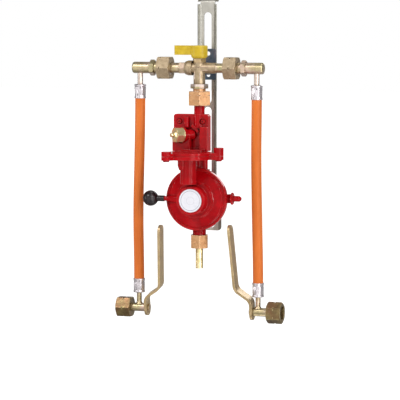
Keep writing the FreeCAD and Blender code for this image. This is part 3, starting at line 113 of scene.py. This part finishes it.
class Finish:
    """A material made of a few layers: tone, roughness, grain, rounded edges, painted highlights and painted
    shade.
    """

    def __init__(self, name):
        self.material = bpy.data.materials.new(name)
        self.material.use_nodes = True
        self.tree = self.material.node_tree
        self.tree.nodes.clear()
        output = self.tree.nodes.new("ShaderNodeOutputMaterial")
        self.shader = self.tree.nodes.new("ShaderNodeBsdfPrincipled")
        self.tree.links.new(self.shader.outputs[0], output.inputs[0])
        self.place = self.tree.nodes.new("ShaderNodeTexCoord").outputs["Object"]
        self.normal = None

    def add(self, kind, settings=None, **inputs):
        node = self.tree.nodes.new(kind)
        for key, value in (settings or {}).items():
            setattr(node, key, value)
        for key, value in inputs.items():
            socket = node.inputs[key.replace("_", " ")]
            if isinstance(value, bpy.types.NodeSocket):
                self.tree.links.new(value, socket)
            else:
                socket.default_value = value
        return node

    def noise(self, scale, detail=3.0, rough=0.5, stretch=(1.0, 1.0, 1.0)):
        mapping = self.add("ShaderNodeMapping", Vector=self.place, Scale=stretch)
        return self.add("ShaderNodeTexNoise", Vector=mapping.outputs[0], Scale=scale, Detail=detail,
                        Roughness=rough).outputs["Fac"]

    def spread(self, value, low, high, to_low=0.0, to_high=1.0):
        node = self.add("ShaderNodeMapRange", Value=value, From_Min=low, From_Max=high,
                        To_Min=to_low, To_Max=to_high)
        return node.outputs[0]

    def tone(self, dark, light, scale, stretch=(1.0, 1.0, 1.0)):
        """Base colour that drifts between two tones."""
        factor = self.spread(self.noise(scale, 4.0, 0.6, stretch), 0.35, 0.65)
        mix = self.tree.nodes.new("ShaderNodeMix")
        mix.data_type = "RGBA"
        self.tree.links.new(factor, mix.inputs["Factor"])
        mix.inputs[6].default_value = dark
        mix.inputs[7].default_value = light
        self.base = mix.outputs[2]
        return self

    def over(self, mask, tint):
        """Lays another colour over the base where the mask is one."""
        mix = self.tree.nodes.new("ShaderNodeMix")
        mix.data_type = "RGBA"
        self.tree.links.new(mask, mix.inputs["Factor"])
        self.tree.links.new(self.base, mix.inputs[6])
        mix.inputs[7].default_value = tint
        self.base = mix.outputs[2]
        return self

    def speckle(self, scale, tint, amount, stretch=(1.0, 1.0, 1.0), share=0.6):
        """Small patches of another colour; the larger the share's number, the fewer they are."""
        mask = self.spread(self.noise(scale, 4.0, 0.65, stretch), share, share + 0.14, 0.0, amount)
        return self.over(mask, tint)

    def side(self, direction, tint, amount):
        """Painted shade: a darker colour on the faces that look along a direction of the object."""
        dot = self.add("ShaderNodeVectorMath", {"operation": "DOT_PRODUCT"})
        self.tree.links.new(self.tree.nodes.new("ShaderNodeTexCoord").outputs["Normal"], dot.inputs[0])
        dot.inputs[1].default_value = direction
        return self.over(self.spread(dot.outputs["Value"], 0.6, 0.9, 0.0, amount), tint)

    def painted_shade_beyond(self, half_width, tint, amount):
        """Painted shade: a darker colour further than this from the middle plane."""
        split = self.add("ShaderNodeSeparateXYZ", Vector=self.place)
        away = self.add("ShaderNodeMath", {"operation": "ABSOLUTE"}, Value=split.outputs["X"])
        return self.over(self.spread(away.outputs[0], half_width, half_width + 0.0004, 0.0, amount), tint)

    def level(self, centre, half_height, tint, amount):
        """Another colour between two heights."""
        split = self.add("ShaderNodeSeparateXYZ", Vector=self.place)
        near = self.add("ShaderNodeMath", {"operation": "COMPARE"})
        self.tree.links.new(split.outputs["Z"], near.inputs[0])
        near.inputs[1].default_value = centre
        near.inputs[2].default_value = half_height
        return self.over(self.spread(near.outputs[0], 0.0, 1.0, 0.0, amount), tint)

    def ring(self, centre, radius, width, tint, amount):
        """A thin ring of another colour round an axis along y."""
        offset = self.add("ShaderNodeVectorMath", {"operation": "SUBTRACT"})
        self.tree.links.new(self.place, offset.inputs[0])
        offset.inputs[1].default_value = centre
        flat = self.add("ShaderNodeVectorMath", {"operation": "MULTIPLY"})
        self.tree.links.new(offset.outputs[0], flat.inputs[0])
        flat.inputs[1].default_value = (1.0, 0.0, 1.0)
        reach = self.add("ShaderNodeVectorMath", {"operation": "LENGTH"})
        self.tree.links.new(flat.outputs[0], reach.inputs[0])
        near = self.add("ShaderNodeMath", {"operation": "COMPARE"})
        self.tree.links.new(reach.outputs["Value"], near.inputs[0])
        near.inputs[1].default_value = radius
        near.inputs[2].default_value = width / 2
        return self.over(self.spread(near.outputs[0], 0.0, 1.0, 0.0, amount), tint)

    def corners(self, reach, tint, amount):
        """Painted shade: another, darker colour in the corners where surfaces stand within this reach of
        each other.
        """
        shade = self.add("ShaderNodeAmbientOcclusion", {"samples": 6}, Distance=reach)
        return self.over(self.spread(shade.outputs["AO"], 0.85, 0.4, 0.0, amount), tint)

    def edges(self, radius, tint=None, amount=0.5):
        """Rounds sharp edges by this radius in metres, and paints light on them: a lighter tint is a painted
        highlight, a darker tint painted shade.
        """
        bevel = self.add("ShaderNodeBevel", {"samples": 6}, Radius=radius)
        self.normal = bevel.outputs[0]
        if tint is not None:
            normal = self.tree.nodes.new("ShaderNodeNewGeometry").outputs["Normal"]
            dot = self.tree.nodes.new("ShaderNodeVectorMath")
            dot.operation = "DOT_PRODUCT"
            self.tree.links.new(bevel.outputs[0], dot.inputs[0])
            self.tree.links.new(normal, dot.inputs[1])
            self.over(self.spread(dot.outputs["Value"], 0.995, 0.90, 0.0, amount), tint)
        return self

    def grain(self, height, scale, detail=3.0, stretch=(1.0, 1.0, 1.0), strength=0.5):
        """Fine relief of this height in metres."""
        bump = self.add("ShaderNodeBump", Strength=strength, Distance=height,
                        Height=self.noise(scale, detail, 0.55, stretch))
        if self.normal is not None:
            self.tree.links.new(self.normal, bump.inputs["Normal"])
        self.normal = bump.outputs[0]
        return self

    def lines(self, axis, scale, height, strength=0.3):
        """Turning or drawing marks: fine bands across the given axis."""
        wave = self.add("ShaderNodeTexWave", {"wave_type": "BANDS", "bands_direction": axis},
                        Vector=self.place, Scale=scale, Distortion=1.2, Detail=2.0)
        bump = self.add("ShaderNodeBump", Strength=strength, Distance=height,
                        Height=wave.outputs["Fac"])
        if self.normal is not None:
            self.tree.links.new(self.normal, bump.inputs["Normal"])
        self.normal = bump.outputs[0]
        return self

    def gloss(self, low, high, scale=90.0):
        """Roughness that drifts between two values."""
        rough = self.spread(self.noise(scale, 3.0), 0.3, 0.7, low, high)
        self.tree.links.new(rough, self.shader.inputs["Roughness"])
        return self

    def done(self, metallic=0.0, specular=0.5):
        self.tree.links.new(self.base, self.shader.inputs["Base Color"])
        if self.normal is not None:
            self.tree.links.new(self.normal, self.shader.inputs["Normal"])
        self.shader.inputs["Metallic"].default_value = metallic
        self.shader.inputs["Specular IOR Level"].default_value = specular
        return self.material


# Materials

def rail_steel():
    finish = Finish("rail_steel").tone(colour(166, 163, 154), colour(192, 188, 178), 70.0, (1, 1, 0.25))
    # Painted shade: the darker colours on the faces that look to +x, on the flanges beyond the web, and
    # along the rounded edges.
    finish.speckle(240.0, colour(168, 166, 156), 0.3).side((1.0, 0.0, 0.0), colour(84, 86, 78), 0.9)
    finish.painted_shade_beyond(rail_web_half, colour(112, 110, 98), 0.8)
    finish.edges(0.0004, colour(150, 148, 138), 0.5).grain(0.00001, 900.0, 2.0, (1, 1, 0.1))
    return finish.gloss(0.26, 0.36).done(metallic=0.4)


def blue_zinc():
    finish = Finish("blue_zinc").tone(colour(70, 90, 112), colour(104, 120, 140), 120.0)
    finish.speckle(60.0, colour(112, 104, 122), 0.7, share=0.5)
    # The lighter colour along the rounded edges is a painted highlight.
    finish.edges(0.0004, colour(170, 174, 182), 0.5).grain(0.00003, 1100.0, 2.0)
    return finish.gloss(0.28, 0.42).done(metallic=0.5)


def fastener_steel():
    finish = Finish("fastener_steel").tone(colour(150, 150, 150), colour(186, 186, 184), 200.0)
    return finish.edges(0.0003).grain(0.00002, 1500.0, 2.0).gloss(0.3, 0.42).done(metallic=0.9)


def dull_brass():
    finish = Finish("dull_brass").tone(colour(150, 130, 102), colour(178, 158, 128), 160.0)
    finish.speckle(420.0, colour(112, 94, 70), 0.4).speckle(900.0, colour(200, 184, 156), 0.4)
    # Painted shade in the corners, and a painted highlight along the rounded edges.
    finish.corners(0.004, colour(88, 70, 50), 0.7)
    finish.edges(0.0007, colour(226, 208, 174), 0.7).grain(0.0001, 1300.0, 4.0)
    return finish.gloss(0.32, 0.46).done(metallic=0.6)


def plated_nut():
    finish = Finish("plated_nut").tone(colour(96, 74, 48), colour(140, 122, 78), 70.0)
    finish.speckle(60.0, colour(128, 80, 56), 0.5, share=0.5).speckle(260.0, colour(166, 128, 110), 0.4)
    # The corner colour is painted shade, the edge colour a painted highlight.
    finish.speckle(600.0, colour(90, 66, 48), 0.6, share=0.54).corners(0.004, colour(70, 50, 36), 0.7)
    finish.edges(0.0008, colour(206, 192, 142), 0.6).grain(0.00008, 1300.0, 4.0)
    return finish.gloss(0.3, 0.44).done(metallic=0.65)


def turned_brass(axis):
    finish = Finish("turned_brass_" + axis.lower())
    finish.tone(colour(160, 146, 108), colour(186, 170, 132), 140.0)
    finish.speckle(45.0, colour(210, 180, 170), 0.6, share=0.44)
    finish.speckle(60.0, colour(146, 150, 104), 0.5, share=0.55)
    finish.level(*elbow_stub, colour(214, 198, 190), 0.75)
    # Painted shade in the corners, and a painted highlight along the rounded edges.
    finish.corners(0.004, colour(96, 76, 44), 0.6)
    finish.edges(0.0004, colour(212, 200, 168), 0.4).lines(axis, 420.0, 0.000001)
    return finish.gloss(0.3, 0.4).done(metallic=0.75)


def copper_brass():
    finish = Finish("copper_brass").tone(colour(206, 150, 102), colour(226, 174, 124), 220.0)
    finish.speckle(130.0, colour(206, 168, 122), 0.5, share=0.5)
    # The corner colour is painted shade, the edge colour a painted highlight.
    finish.speckle(700.0, colour(168, 112, 74), 0.35).corners(0.004, colour(120, 72, 40), 0.6)
    finish.edges(0.0007, colour(255, 232, 200), 0.8).grain(0.00004, 1600.0, 3.0)
    return finish.gloss(0.26, 0.38).done(metallic=0.45)


def bright_brass():
    finish = Finish("bright_brass").tone(colour(222, 198, 138), colour(246, 230, 184), 180.0)
    # Painted shade in the corners, and a painted highlight along the rounded edges.
    finish.corners(0.004, colour(120, 88, 40), 0.6)
    finish.edges(0.0004, colour(255, 248, 222), 0.5).grain(0.00001, 1400.0, 2.0)
    return finish.gloss(0.16, 0.26).done(metallic=0.65)


def yellow_plating():
    finish = Finish("yellow_plating").tone(colour(166, 142, 100), colour(190, 166, 122), 90.0)
    finish.speckle(150.0, colour(184, 148, 128), 0.4, share=0.5)
    # The corner colour is painted shade, the edge colour a painted highlight.
    finish.speckle(500.0, colour(138, 116, 86), 0.35).corners(0.005, colour(112, 84, 44), 0.6)
    finish.edges(0.0005, colour(228, 212, 176), 0.5).grain(0.00003, 1200.0, 2.0)
    return finish.gloss(0.3, 0.42).done(metallic=0.5)


def ferrule_steel():
    finish = Finish("ferrule_steel").tone(colour(196, 189, 192), colour(210, 204, 207), 60.0)
    # The corner colour is painted shade, the edge colour a painted highlight.
    finish.speckle(600.0, colour(174, 163, 165), 0.2).corners(0.002, colour(92, 74, 76), 0.7)
    finish.edges(0.0004, colour(220, 214, 218), 0.3).grain(0.000002, 900.0, 2.0, (1, 1, 0.2))
    return finish.gloss(0.26, 0.32).done(metallic=0.65)


def hose_rubber():
    finish = Finish("hose_rubber").tone(colour(212, 108, 40), colour(228, 122, 50), 60.0, (1, 1, 0.2))
    finish.speckle(700.0, colour(184, 88, 34), 0.3, (1, 1, 0.3))
    finish.grain(0.00007, 1500.0, 3.0, (1, 1, 0.35))
    return finish.gloss(0.36, 0.48).done(specular=0.25)


def lever_yellow():
    finish = Finish("lever_yellow").tone(colour(200, 168, 34), colour(216, 186, 52), 120.0)
    # The corner colour is painted shade, the edge colour a painted highlight.
    finish.speckle(300.0, colour(186, 154, 34), 0.35).corners(0.006, colour(150, 112, 14), 0.6)
    finish.edges(0.0012, colour(240, 220, 110), 0.5).grain(0.00006, 1300.0, 3.0)
    return finish.gloss(0.26, 0.36).done(specular=0.3)


def red_enamel():
    finish = Finish("red_enamel").tone(colour(160, 4, 14), colour(190, 7, 19), 70.0)
    # The corner colour is painted shade, the edge colour a painted highlight.
    finish.speckle(260.0, colour(132, 4, 13), 0.45).corners(0.006, colour(84, 2, 8), 0.7)
    finish.edges(0.0009, colour(236, 86, 80), 0.5).grain(0.00008, 420.0, 3.0, strength=0.3)
    return finish.gloss(0.09, 0.16).done(specular=0.12)


def black_plastic():
    finish = Finish("black_plastic").tone(colour(24, 18, 21), colour(40, 32, 35), 200.0)
    # The lighter colour along the rounded edges is a painted highlight.
    finish.edges(0.0005, colour(84, 78, 80), 0.4).grain(0.0001, 1500.0, 3.0)
    return finish.gloss(0.28, 0.4).done(specular=0.35)


def label_plastic():
    finish = Finish("label_plastic").tone(colour(228, 228, 236), colour(238, 238, 244), 200.0)
    finish.ring(second_stage, 0.0153, 0.0007, colour(150, 148, 162), 0.8)
    finish.ring(second_stage, 0.0062, 0.0004, colour(170, 168, 180), 0.6)
    # The darker colour along the rounded edges is painted shade.
    return finish.edges(0.0003, colour(190, 186, 196), 0.6).gloss(0.36, 0.46).done(specular=0.2)


def seal_rubber():
    finish = Finish("seal_rubber").tone(colour(22, 22, 22), colour(36, 36, 36), 300.0)
    return finish.grain(0.00005, 1200.0).gloss(0.55, 0.7).done()


def spring_steel():
    finish = Finish("spring_steel").tone(colour(120, 120, 122), colour(156, 156, 158), 300.0)
    return finish.grain(0.00002, 1500.0, 2.0).gloss(0.28, 0.4).done(metallic=1.0)


makers = {
    "rail_steel": rail_steel, "blue_zinc": blue_zinc, "fastener_steel": fastener_steel,
    "dull_brass": dull_brass, "plated_nut": plated_nut, "copper_brass": copper_brass,
    "bright_brass": bright_brass, "yellow_plating": yellow_plating, "ferrule_steel": ferrule_steel,
    "hose_rubber": hose_rubber, "lever_yellow": lever_yellow, "red_enamel": red_enamel,
    "black_plastic": black_plastic, "label_plastic": label_plastic, "seal_rubber": seal_rubber,
    "spring_steel": spring_steel, "turned_brass_x": lambda: turned_brass("X"),
    "turned_brass_z": lambda: turned_brass("Z"),
}
materials = {name: make() for name, make in makers.items()}
turned_along_x = ("tailpiece", "elbow", "banjo", "spindle")


def dress_nodes():
    for row in frame["record"]["subparts"]:
        slot = row["material_slot"]
        if "cylinder_nut" in row["node"]:
            slot = "plated_nut"
        if row["node"] == "gland_nut":
            slot = "yellow_plating"
        if slot == "turned_brass":
            along_x = any(word in row["node"] for word in turned_along_x)
            slot = "turned_brass_x" if along_x else "turned_brass_z"
        mesh = nodes[row["node"]].data
        mesh.materials.clear()
        mesh.materials.append(materials[slot])


dress_nodes()


# Hoses

def make_hose(side):
    points = hose_routes[side]
    data = bpy.data.curves.new(side + "_hose_line", "CURVE")
    data.dimensions = "3D"
    data.resolution_u = hose_smoothness
    data.bevel_depth = hose_diameter / 2
    data.bevel_resolution = hose_roundness
    data.use_fill_caps = True
    spline = data.splines.new("NURBS")
    spline.points.add(len(points) - 1)
    for point, place in zip(spline.points, points):
        point.co = (*place, 1.0)
    spline.order_u = 3
    spline.use_endpoint_u = True
    data.materials.append(materials["hose_rubber"])
    hose = bpy.data.objects.new(side + "_hose_line", data)
    bpy.context.scene.collection.objects.link(hose)
    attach(hose, "manifold")
    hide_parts(side + "_hose")


for side in hose_routes:
    make_hose(side)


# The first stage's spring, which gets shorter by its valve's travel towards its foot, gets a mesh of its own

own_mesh(nodes["first_stage_spring"])


# Small forms on the castings and the ferrules

rib_profile = ((-1.0, -0.8), (-0.75, 0.6), (0.0, 1.0), (0.75, 0.6), (1.0, -0.8))


def add_piece(name, verts, faces, body, slot, *finishes):
    """Smooth mesh that rides on a body."""
    mesh = bpy.data.meshes.new(name)
    mesh.from_pydata(verts, [], faces)
    for face in mesh.polygons:
        face.use_smooth = True
    for finish in finishes:
        mesh.materials.append(materials[finish])
    piece = bpy.data.objects.new(name, mesh)
    bpy.context.scene.collection.objects.link(piece)
    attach(piece, body)
    return mesh


def ring_faces(rings, steps):
    """Faces between closed rings of points, each ring after the one before."""
    faces = []
    for ring in range(rings - 1):
        for i in range(steps):
            j = (i + 1) % steps
            near, far = ring * steps, (ring + 1) * steps
            faces.append((near + i, near + j, far + j, far + i))
    return faces


def make_rib(name, path, half_width, height, body, slot, finish):
    """Raised rib along a path of (point, outward direction) pairs."""
    verts = []
    faces = []
    count = len(rib_profile)
    for i, (point, outward) in enumerate(path):
        along = (path[min(i + 1, len(path) - 1)][0] - path[max(i - 1, 0)][0]).normalized()
        aside = along.cross(outward).normalized()
        verts += [point + aside * (half_width * a) + outward * (height * b) for a, b in rib_profile]
    for i in range(len(path) - 1):
        for k in range(count):
            low = i * count
            faces.append((low + k, low + (k + 1) % count, low + count + (k + 1) % count, low + count + k))
    faces.append(tuple(reversed(range(count))))
    faces.append(tuple(range(len(verts) - count, len(verts))))
    add_piece(name, verts, faces, body, slot, finish)


def tee_front(x, z):
    """Point on the front of the tee, x and z from its centre, and the way out of it."""
    arm = math.sqrt(tee_arm ** 2 - z ** 2) if abs(z) < tee_arm else 0.0
    branch = math.sqrt(tee_branch ** 2 - x ** 2) if abs(x) < tee_branch else 0.0
    outward = Vector((0.0, -arm, z)) if arm > branch else Vector((x, -branch, 0.0))
    return tee + Vector((x, -max(arm, branch), z)), outward.normalized()


tee_line_half_width = 0.0006
tee_line_height = 0.0007
tee_line_step = 0.0010


def make_flow_mark():
    """The raised lines on the tee that show its three ways."""
    upper, lower, left, right = 0.0018, -0.0034, -0.0058, 0.0037
    along_arm = [tee_line_step * i for i in range(-6, 18)]
    down_branch = [tee_line_step * i for i in range(3, 19)]
    lines = {
        "upper": [tee_front(x, upper) for x in along_arm],
        "lower": [tee_front(x, lower) for x in along_arm if x >= right],
        "left": [tee_front(left, -z) for z in down_branch],
        "right": [tee_front(right, -z) for z in down_branch],
    }
    for name, path in lines.items():
        make_rib("tee_line_" + name, path, tee_line_half_width, tee_line_height, "manifold", "dull_brass",
                 "turned_brass_z")


# Heights and shares of the crimped waist, from a ferrule's closed end
crimp_steps = ((0.0039, 0.0), (0.0042, 0.7), (0.0047, 1.0), (0.0110, 1.0), (0.0164, 1.0), (0.0170, 0.6),
               (0.0173, 0.0))
crimp_sunk = 0.0084
crimp_flat = 0.0087
crimp_corner = 0.0091
crimp_fin = 0.0095              # the thin seams that the jaws leave between their faces
crimp_sides = 8
crimp_steps_per_side = 16


def make_crimp(side, end):
    """Eight-sided waist that the crimping jaws leave on a ferrule."""
    x = hose_routes[side][0 if end == "upper" else -1][0]
    steps = crimp_sides * crimp_steps_per_side
    verts = []
    for height, share in crimp_steps:
        z = ferrule_top - height if end == "upper" else ferrule_foot + height
        for i in range(steps):
            turn = 2 * math.pi * i / steps
            off_middle = (turn + math.pi / crimp_sides) % (2 * math.pi / crimp_sides) - math.pi / crimp_sides
            full = min(crimp_flat / math.cos(off_middle), crimp_corner)
            if i % crimp_steps_per_side == crimp_steps_per_side // 2:
                full = crimp_fin
            radius = crimp_sunk + share * (full - crimp_sunk)
            angle = view_azimuth + turn
            verts.append((x + radius * math.sin(angle), tee.y - radius * math.cos(angle), z))
    faces = ring_faces(len(crimp_steps), steps)
    if end == "upper":
        faces = [tuple(reversed(face)) for face in faces]
    add_piece("{}_{}_crimp".format(side, end), verts, faces, "manifold", "ferrule_steel", "ferrule_steel")


sight_hole_drop = 0.0058        # below the ferrule's closed end
sight_hole_steps = 20
# Radius and height of its rings, from the middle over the lip
sight_hole_rings = ((0.0000, 0.0001), (0.0008, 0.0001), (0.0010, 0.0003), (0.0013, 0.0003),
                    (0.0015, -0.0002))
# Inner rings in the black material: painted shade for the dark inside of the hole, which is not cut.
sight_hole_shade_rings = 2


def make_sight_hole(side):
    """Sight hole near the top of an upper ferrule, with a raised lip; its middle is a disc in the black
    material, painted shade in place of the hole's dark inside.
    """
    x = hose_routes[side][0][0]
    outward = Vector((math.sin(view_azimuth), -math.cos(view_azimuth), 0.0))
    aside = Vector((-outward.y, outward.x, 0.0))
    centre = Vector((x, tee.y, ferrule_top - sight_hole_drop)) + outward * crimp_flat
    steps = sight_hole_steps
    verts = []
    for radius, height in sight_hole_rings:
        for i in range(steps):
            turn = 2 * math.pi * i / steps
            verts.append(centre + aside * (radius * math.cos(turn)) + Vector((0, 0, radius * math.sin(turn)))
                         + outward * height)
    faces = ring_faces(len(sight_hole_rings), steps)
    mesh = add_piece(side + "_sight_hole", verts, faces, "manifold", "ferrule_steel",
                     "ferrule_steel", "black_plastic")
    # The inner rings take the black material: painted shade for the hole's dark inside.
    for face in mesh.polygons:
        face.material_index = 1 if face.index < sight_hole_shade_rings * steps else 0


make_flow_mark()
for side in hose_routes:
    make_crimp(side, "upper")
    make_crimp(side, "lower")
    make_sight_hole(side)


# Floor, light and background

floor_level = -0.46             # below the reach of a bottle connector's lever when it hangs down
floor_size = 24.0
floor_tone = 0.8
near_glow = 0.34                # the floor's own white, beside the object
far_glow = 0.9                  # and at the horizon
near_reach = 0.5
far_reach = 4.0
front = Vector((0.30, -0.93, 0.20)).normalized()
strips = ((40.0, 4.0), (-22.0, 1.0))    # azimuth in degrees, from the front to the right, and strength
strip_core, strip_edge = 0.08, 0.26
even_light = 0.42
# Each row: from and to, then the brightness at each
glow_ahead = (0.66, 0.97, 0.0, 0.7)         # by how far a direction faces the front
glow_behind = (-0.7, -1.0, 0.0, 0.5)
glow_by_height = (-0.35, 0.45, 0.75, 0.14)
share_aside = (-0.1, 0.6, 0.4, 1.0)
lamp_aim = Vector((0.0, -0.06, -0.1))
lamps = {                       # place, size, power
    "key": ((-1.1, -1.7, 1.5), (0.6, 0.6), 22.0),
    "upper_right": ((1.3, -1.4, 1.0), (0.3, 0.9), 9.0),
    "right": ((1.85, -0.85, 0.1), (0.14, 1.5), 12.0),
    "left": ((-1.9, -0.9, 0.0), (0.14, 1.5), 8.0),
    "top": ((0.2, 0.5, 2.0), (1.2, 0.8), 12.0),
    "back": ((0.3, 2.2, 0.8), (1.0, 1.0), 12.0),
}


def math_node(tree, operation, *values):
    node = tree.nodes.new("ShaderNodeMath")
    node.operation = operation
    for socket, value in zip(node.inputs, values):
        if isinstance(value, bpy.types.NodeSocket):
            tree.links.new(value, socket)
        else:
            socket.default_value = value
    return node.outputs[0]


def ramp(tree, value, low, high, to_low, to_high):
    node = tree.nodes.new("ShaderNodeMapRange")
    tree.links.new(value, node.inputs["Value"])
    for name, number in (("From Min", low), ("From Max", high), ("To Min", to_low), ("To Max", to_high)):
        node.inputs[name].default_value = number
    return node.outputs[0]


def shown_in_metal(tree, direction):
    """Brightness that shiny pieces show in a direction: two upright strips, and darker above."""
    facing = tree.nodes.new("ShaderNodeVectorMath")
    facing.operation = "DOT_PRODUCT"
    tree.links.new(direction, facing.inputs[0])
    facing.inputs[1].default_value = front
    ahead = ramp(tree, facing.outputs["Value"], *glow_ahead)
    behind = ramp(tree, facing.outputs["Value"], *glow_behind)
    split = tree.nodes.new("ShaderNodeSeparateXYZ")
    tree.links.new(direction, split.inputs[0])
    by_height = ramp(tree, split.outputs["Z"], *glow_by_height)
    aside = ramp(tree, facing.outputs["Value"], *share_aside)
    even = math_node(tree, "MULTIPLY", by_height, aside)
    total = math_node(tree, "ADD", even, math_node(tree, "ADD", ahead, behind))
    back = math_node(tree, "MULTIPLY", split.outputs["Y"], -1.0)
    azimuth = math_node(tree, "ARCTAN2", split.outputs["X"], back)
    for centre, strength in strips:
        off = math_node(tree, "ABSOLUTE", math_node(tree, "SUBTRACT", azimuth, math.radians(centre)))
        total = math_node(tree, "ADD", total, ramp(tree, off, strip_core, strip_edge, strength, 0.0))
    return total


def make_floor():
    half = floor_size / 2
    mesh = bpy.data.meshes.new("floor")
    corners = [(-half, -half, floor_level), (half, -half, floor_level),
               (half, half, floor_level), (-half, half, floor_level)]
    mesh.from_pydata(corners, [], [(0, 1, 2, 3)])
    material = bpy.data.materials.new("floor")
    material.use_nodes = True
    tree = material.node_tree
    tree.nodes.clear()
    output = tree.nodes.new("ShaderNodeOutputMaterial")
    matte = tree.nodes.new("ShaderNodeBsdfDiffuse")
    glow = tree.nodes.new("ShaderNodeEmission")
    path = tree.nodes.new("ShaderNodeLightPath")
    tone = ramp(tree, path.outputs["Is Glossy Ray"], 0.0, 1.0, floor_tone, 0.0)
    tree.links.new(tone, matte.inputs["Color"])
    place = tree.nodes.new("ShaderNodeTexCoord").outputs["Object"]
    distance = tree.nodes.new("ShaderNodeVectorMath")
    distance.operation = "LENGTH"
    tree.links.new(place, distance.inputs[0])
    white = ramp(tree, distance.outputs["Value"], near_reach, far_reach, near_glow, far_glow)
    direction = tree.nodes.new("ShaderNodeVectorMath")
    direction.operation = "NORMALIZE"
    tree.links.new(place, direction.inputs[0])
    shine = shown_in_metal(tree, direction.outputs[0])
    eye = math_node(tree, "MULTIPLY", path.outputs["Is Camera Ray"], white)
    mirror = math_node(tree, "MULTIPLY", path.outputs["Is Glossy Ray"], shine)
    tree.links.new(math_node(tree, "ADD", eye, mirror), glow.inputs["Strength"])
    both = tree.nodes.new("ShaderNodeAddShader")
    tree.links.new(matte.outputs[0], both.inputs[0])
    tree.links.new(glow.outputs[0], both.inputs[1])
    tree.links.new(both.outputs[0], output.inputs[0])
    mesh.materials.append(material)
    floor = bpy.data.objects.new("floor", mesh)
    bpy.context.scene.collection.objects.link(floor)


def make_lamp(name, place, size, power):
    data = bpy.data.lights.new(name, "AREA")
    data.shape = "RECTANGLE"
    data.size, data.size_y = size
    data.energy = power
    lamp = bpy.data.objects.new(name, data)
    lamp.location = place
    lamp.visible_camera = False
    aim = lamp_aim - Vector(place)
    lamp.rotation_euler = aim.to_track_quat("-Z", "Y").to_euler()
    bpy.context.scene.collection.objects.link(lamp)


def make_world():
    """White for the eye, even light for what is matt, and a bright front and back for what shines."""
    world = bpy.data.worlds.new("studio")
    bpy.context.scene.world = world
    world.use_nodes = True
    tree = world.node_tree
    tree.nodes.clear()
    path = tree.nodes.new("ShaderNodeLightPath")
    shown = shown_in_metal(tree, tree.nodes.new("ShaderNodeTexCoord").outputs["Generated"])
    shine = math_node(tree, "MULTIPLY", path.outputs["Is Glossy Ray"], shown)
    matt = math_node(tree, "MULTIPLY", path.outputs["Is Diffuse Ray"], even_light)
    eye = math_node(tree, "MAXIMUM", path.outputs["Is Camera Ray"], path.outputs["Is Transmission Ray"])
    light = tree.nodes.new("ShaderNodeBackground")
    strength = math_node(tree, "MAXIMUM", eye, math_node(tree, "MAXIMUM", shine, matt))
    tree.links.new(strength, light.inputs["Strength"])
    light.inputs["Color"].default_value = (1.0, 1.0, 1.0, 1.0)
    output = tree.nodes.new("ShaderNodeOutputWorld")
    tree.links.new(light.outputs[0], output.inputs[0])


make_floor()
for lamp_name, (lamp_place, lamp_size, lamp_power) in lamps.items():
    make_lamp(lamp_name, lamp_place, lamp_size, lamp_power)
make_world()

bpy.context.scene.view_settings.view_transform = "Standard"
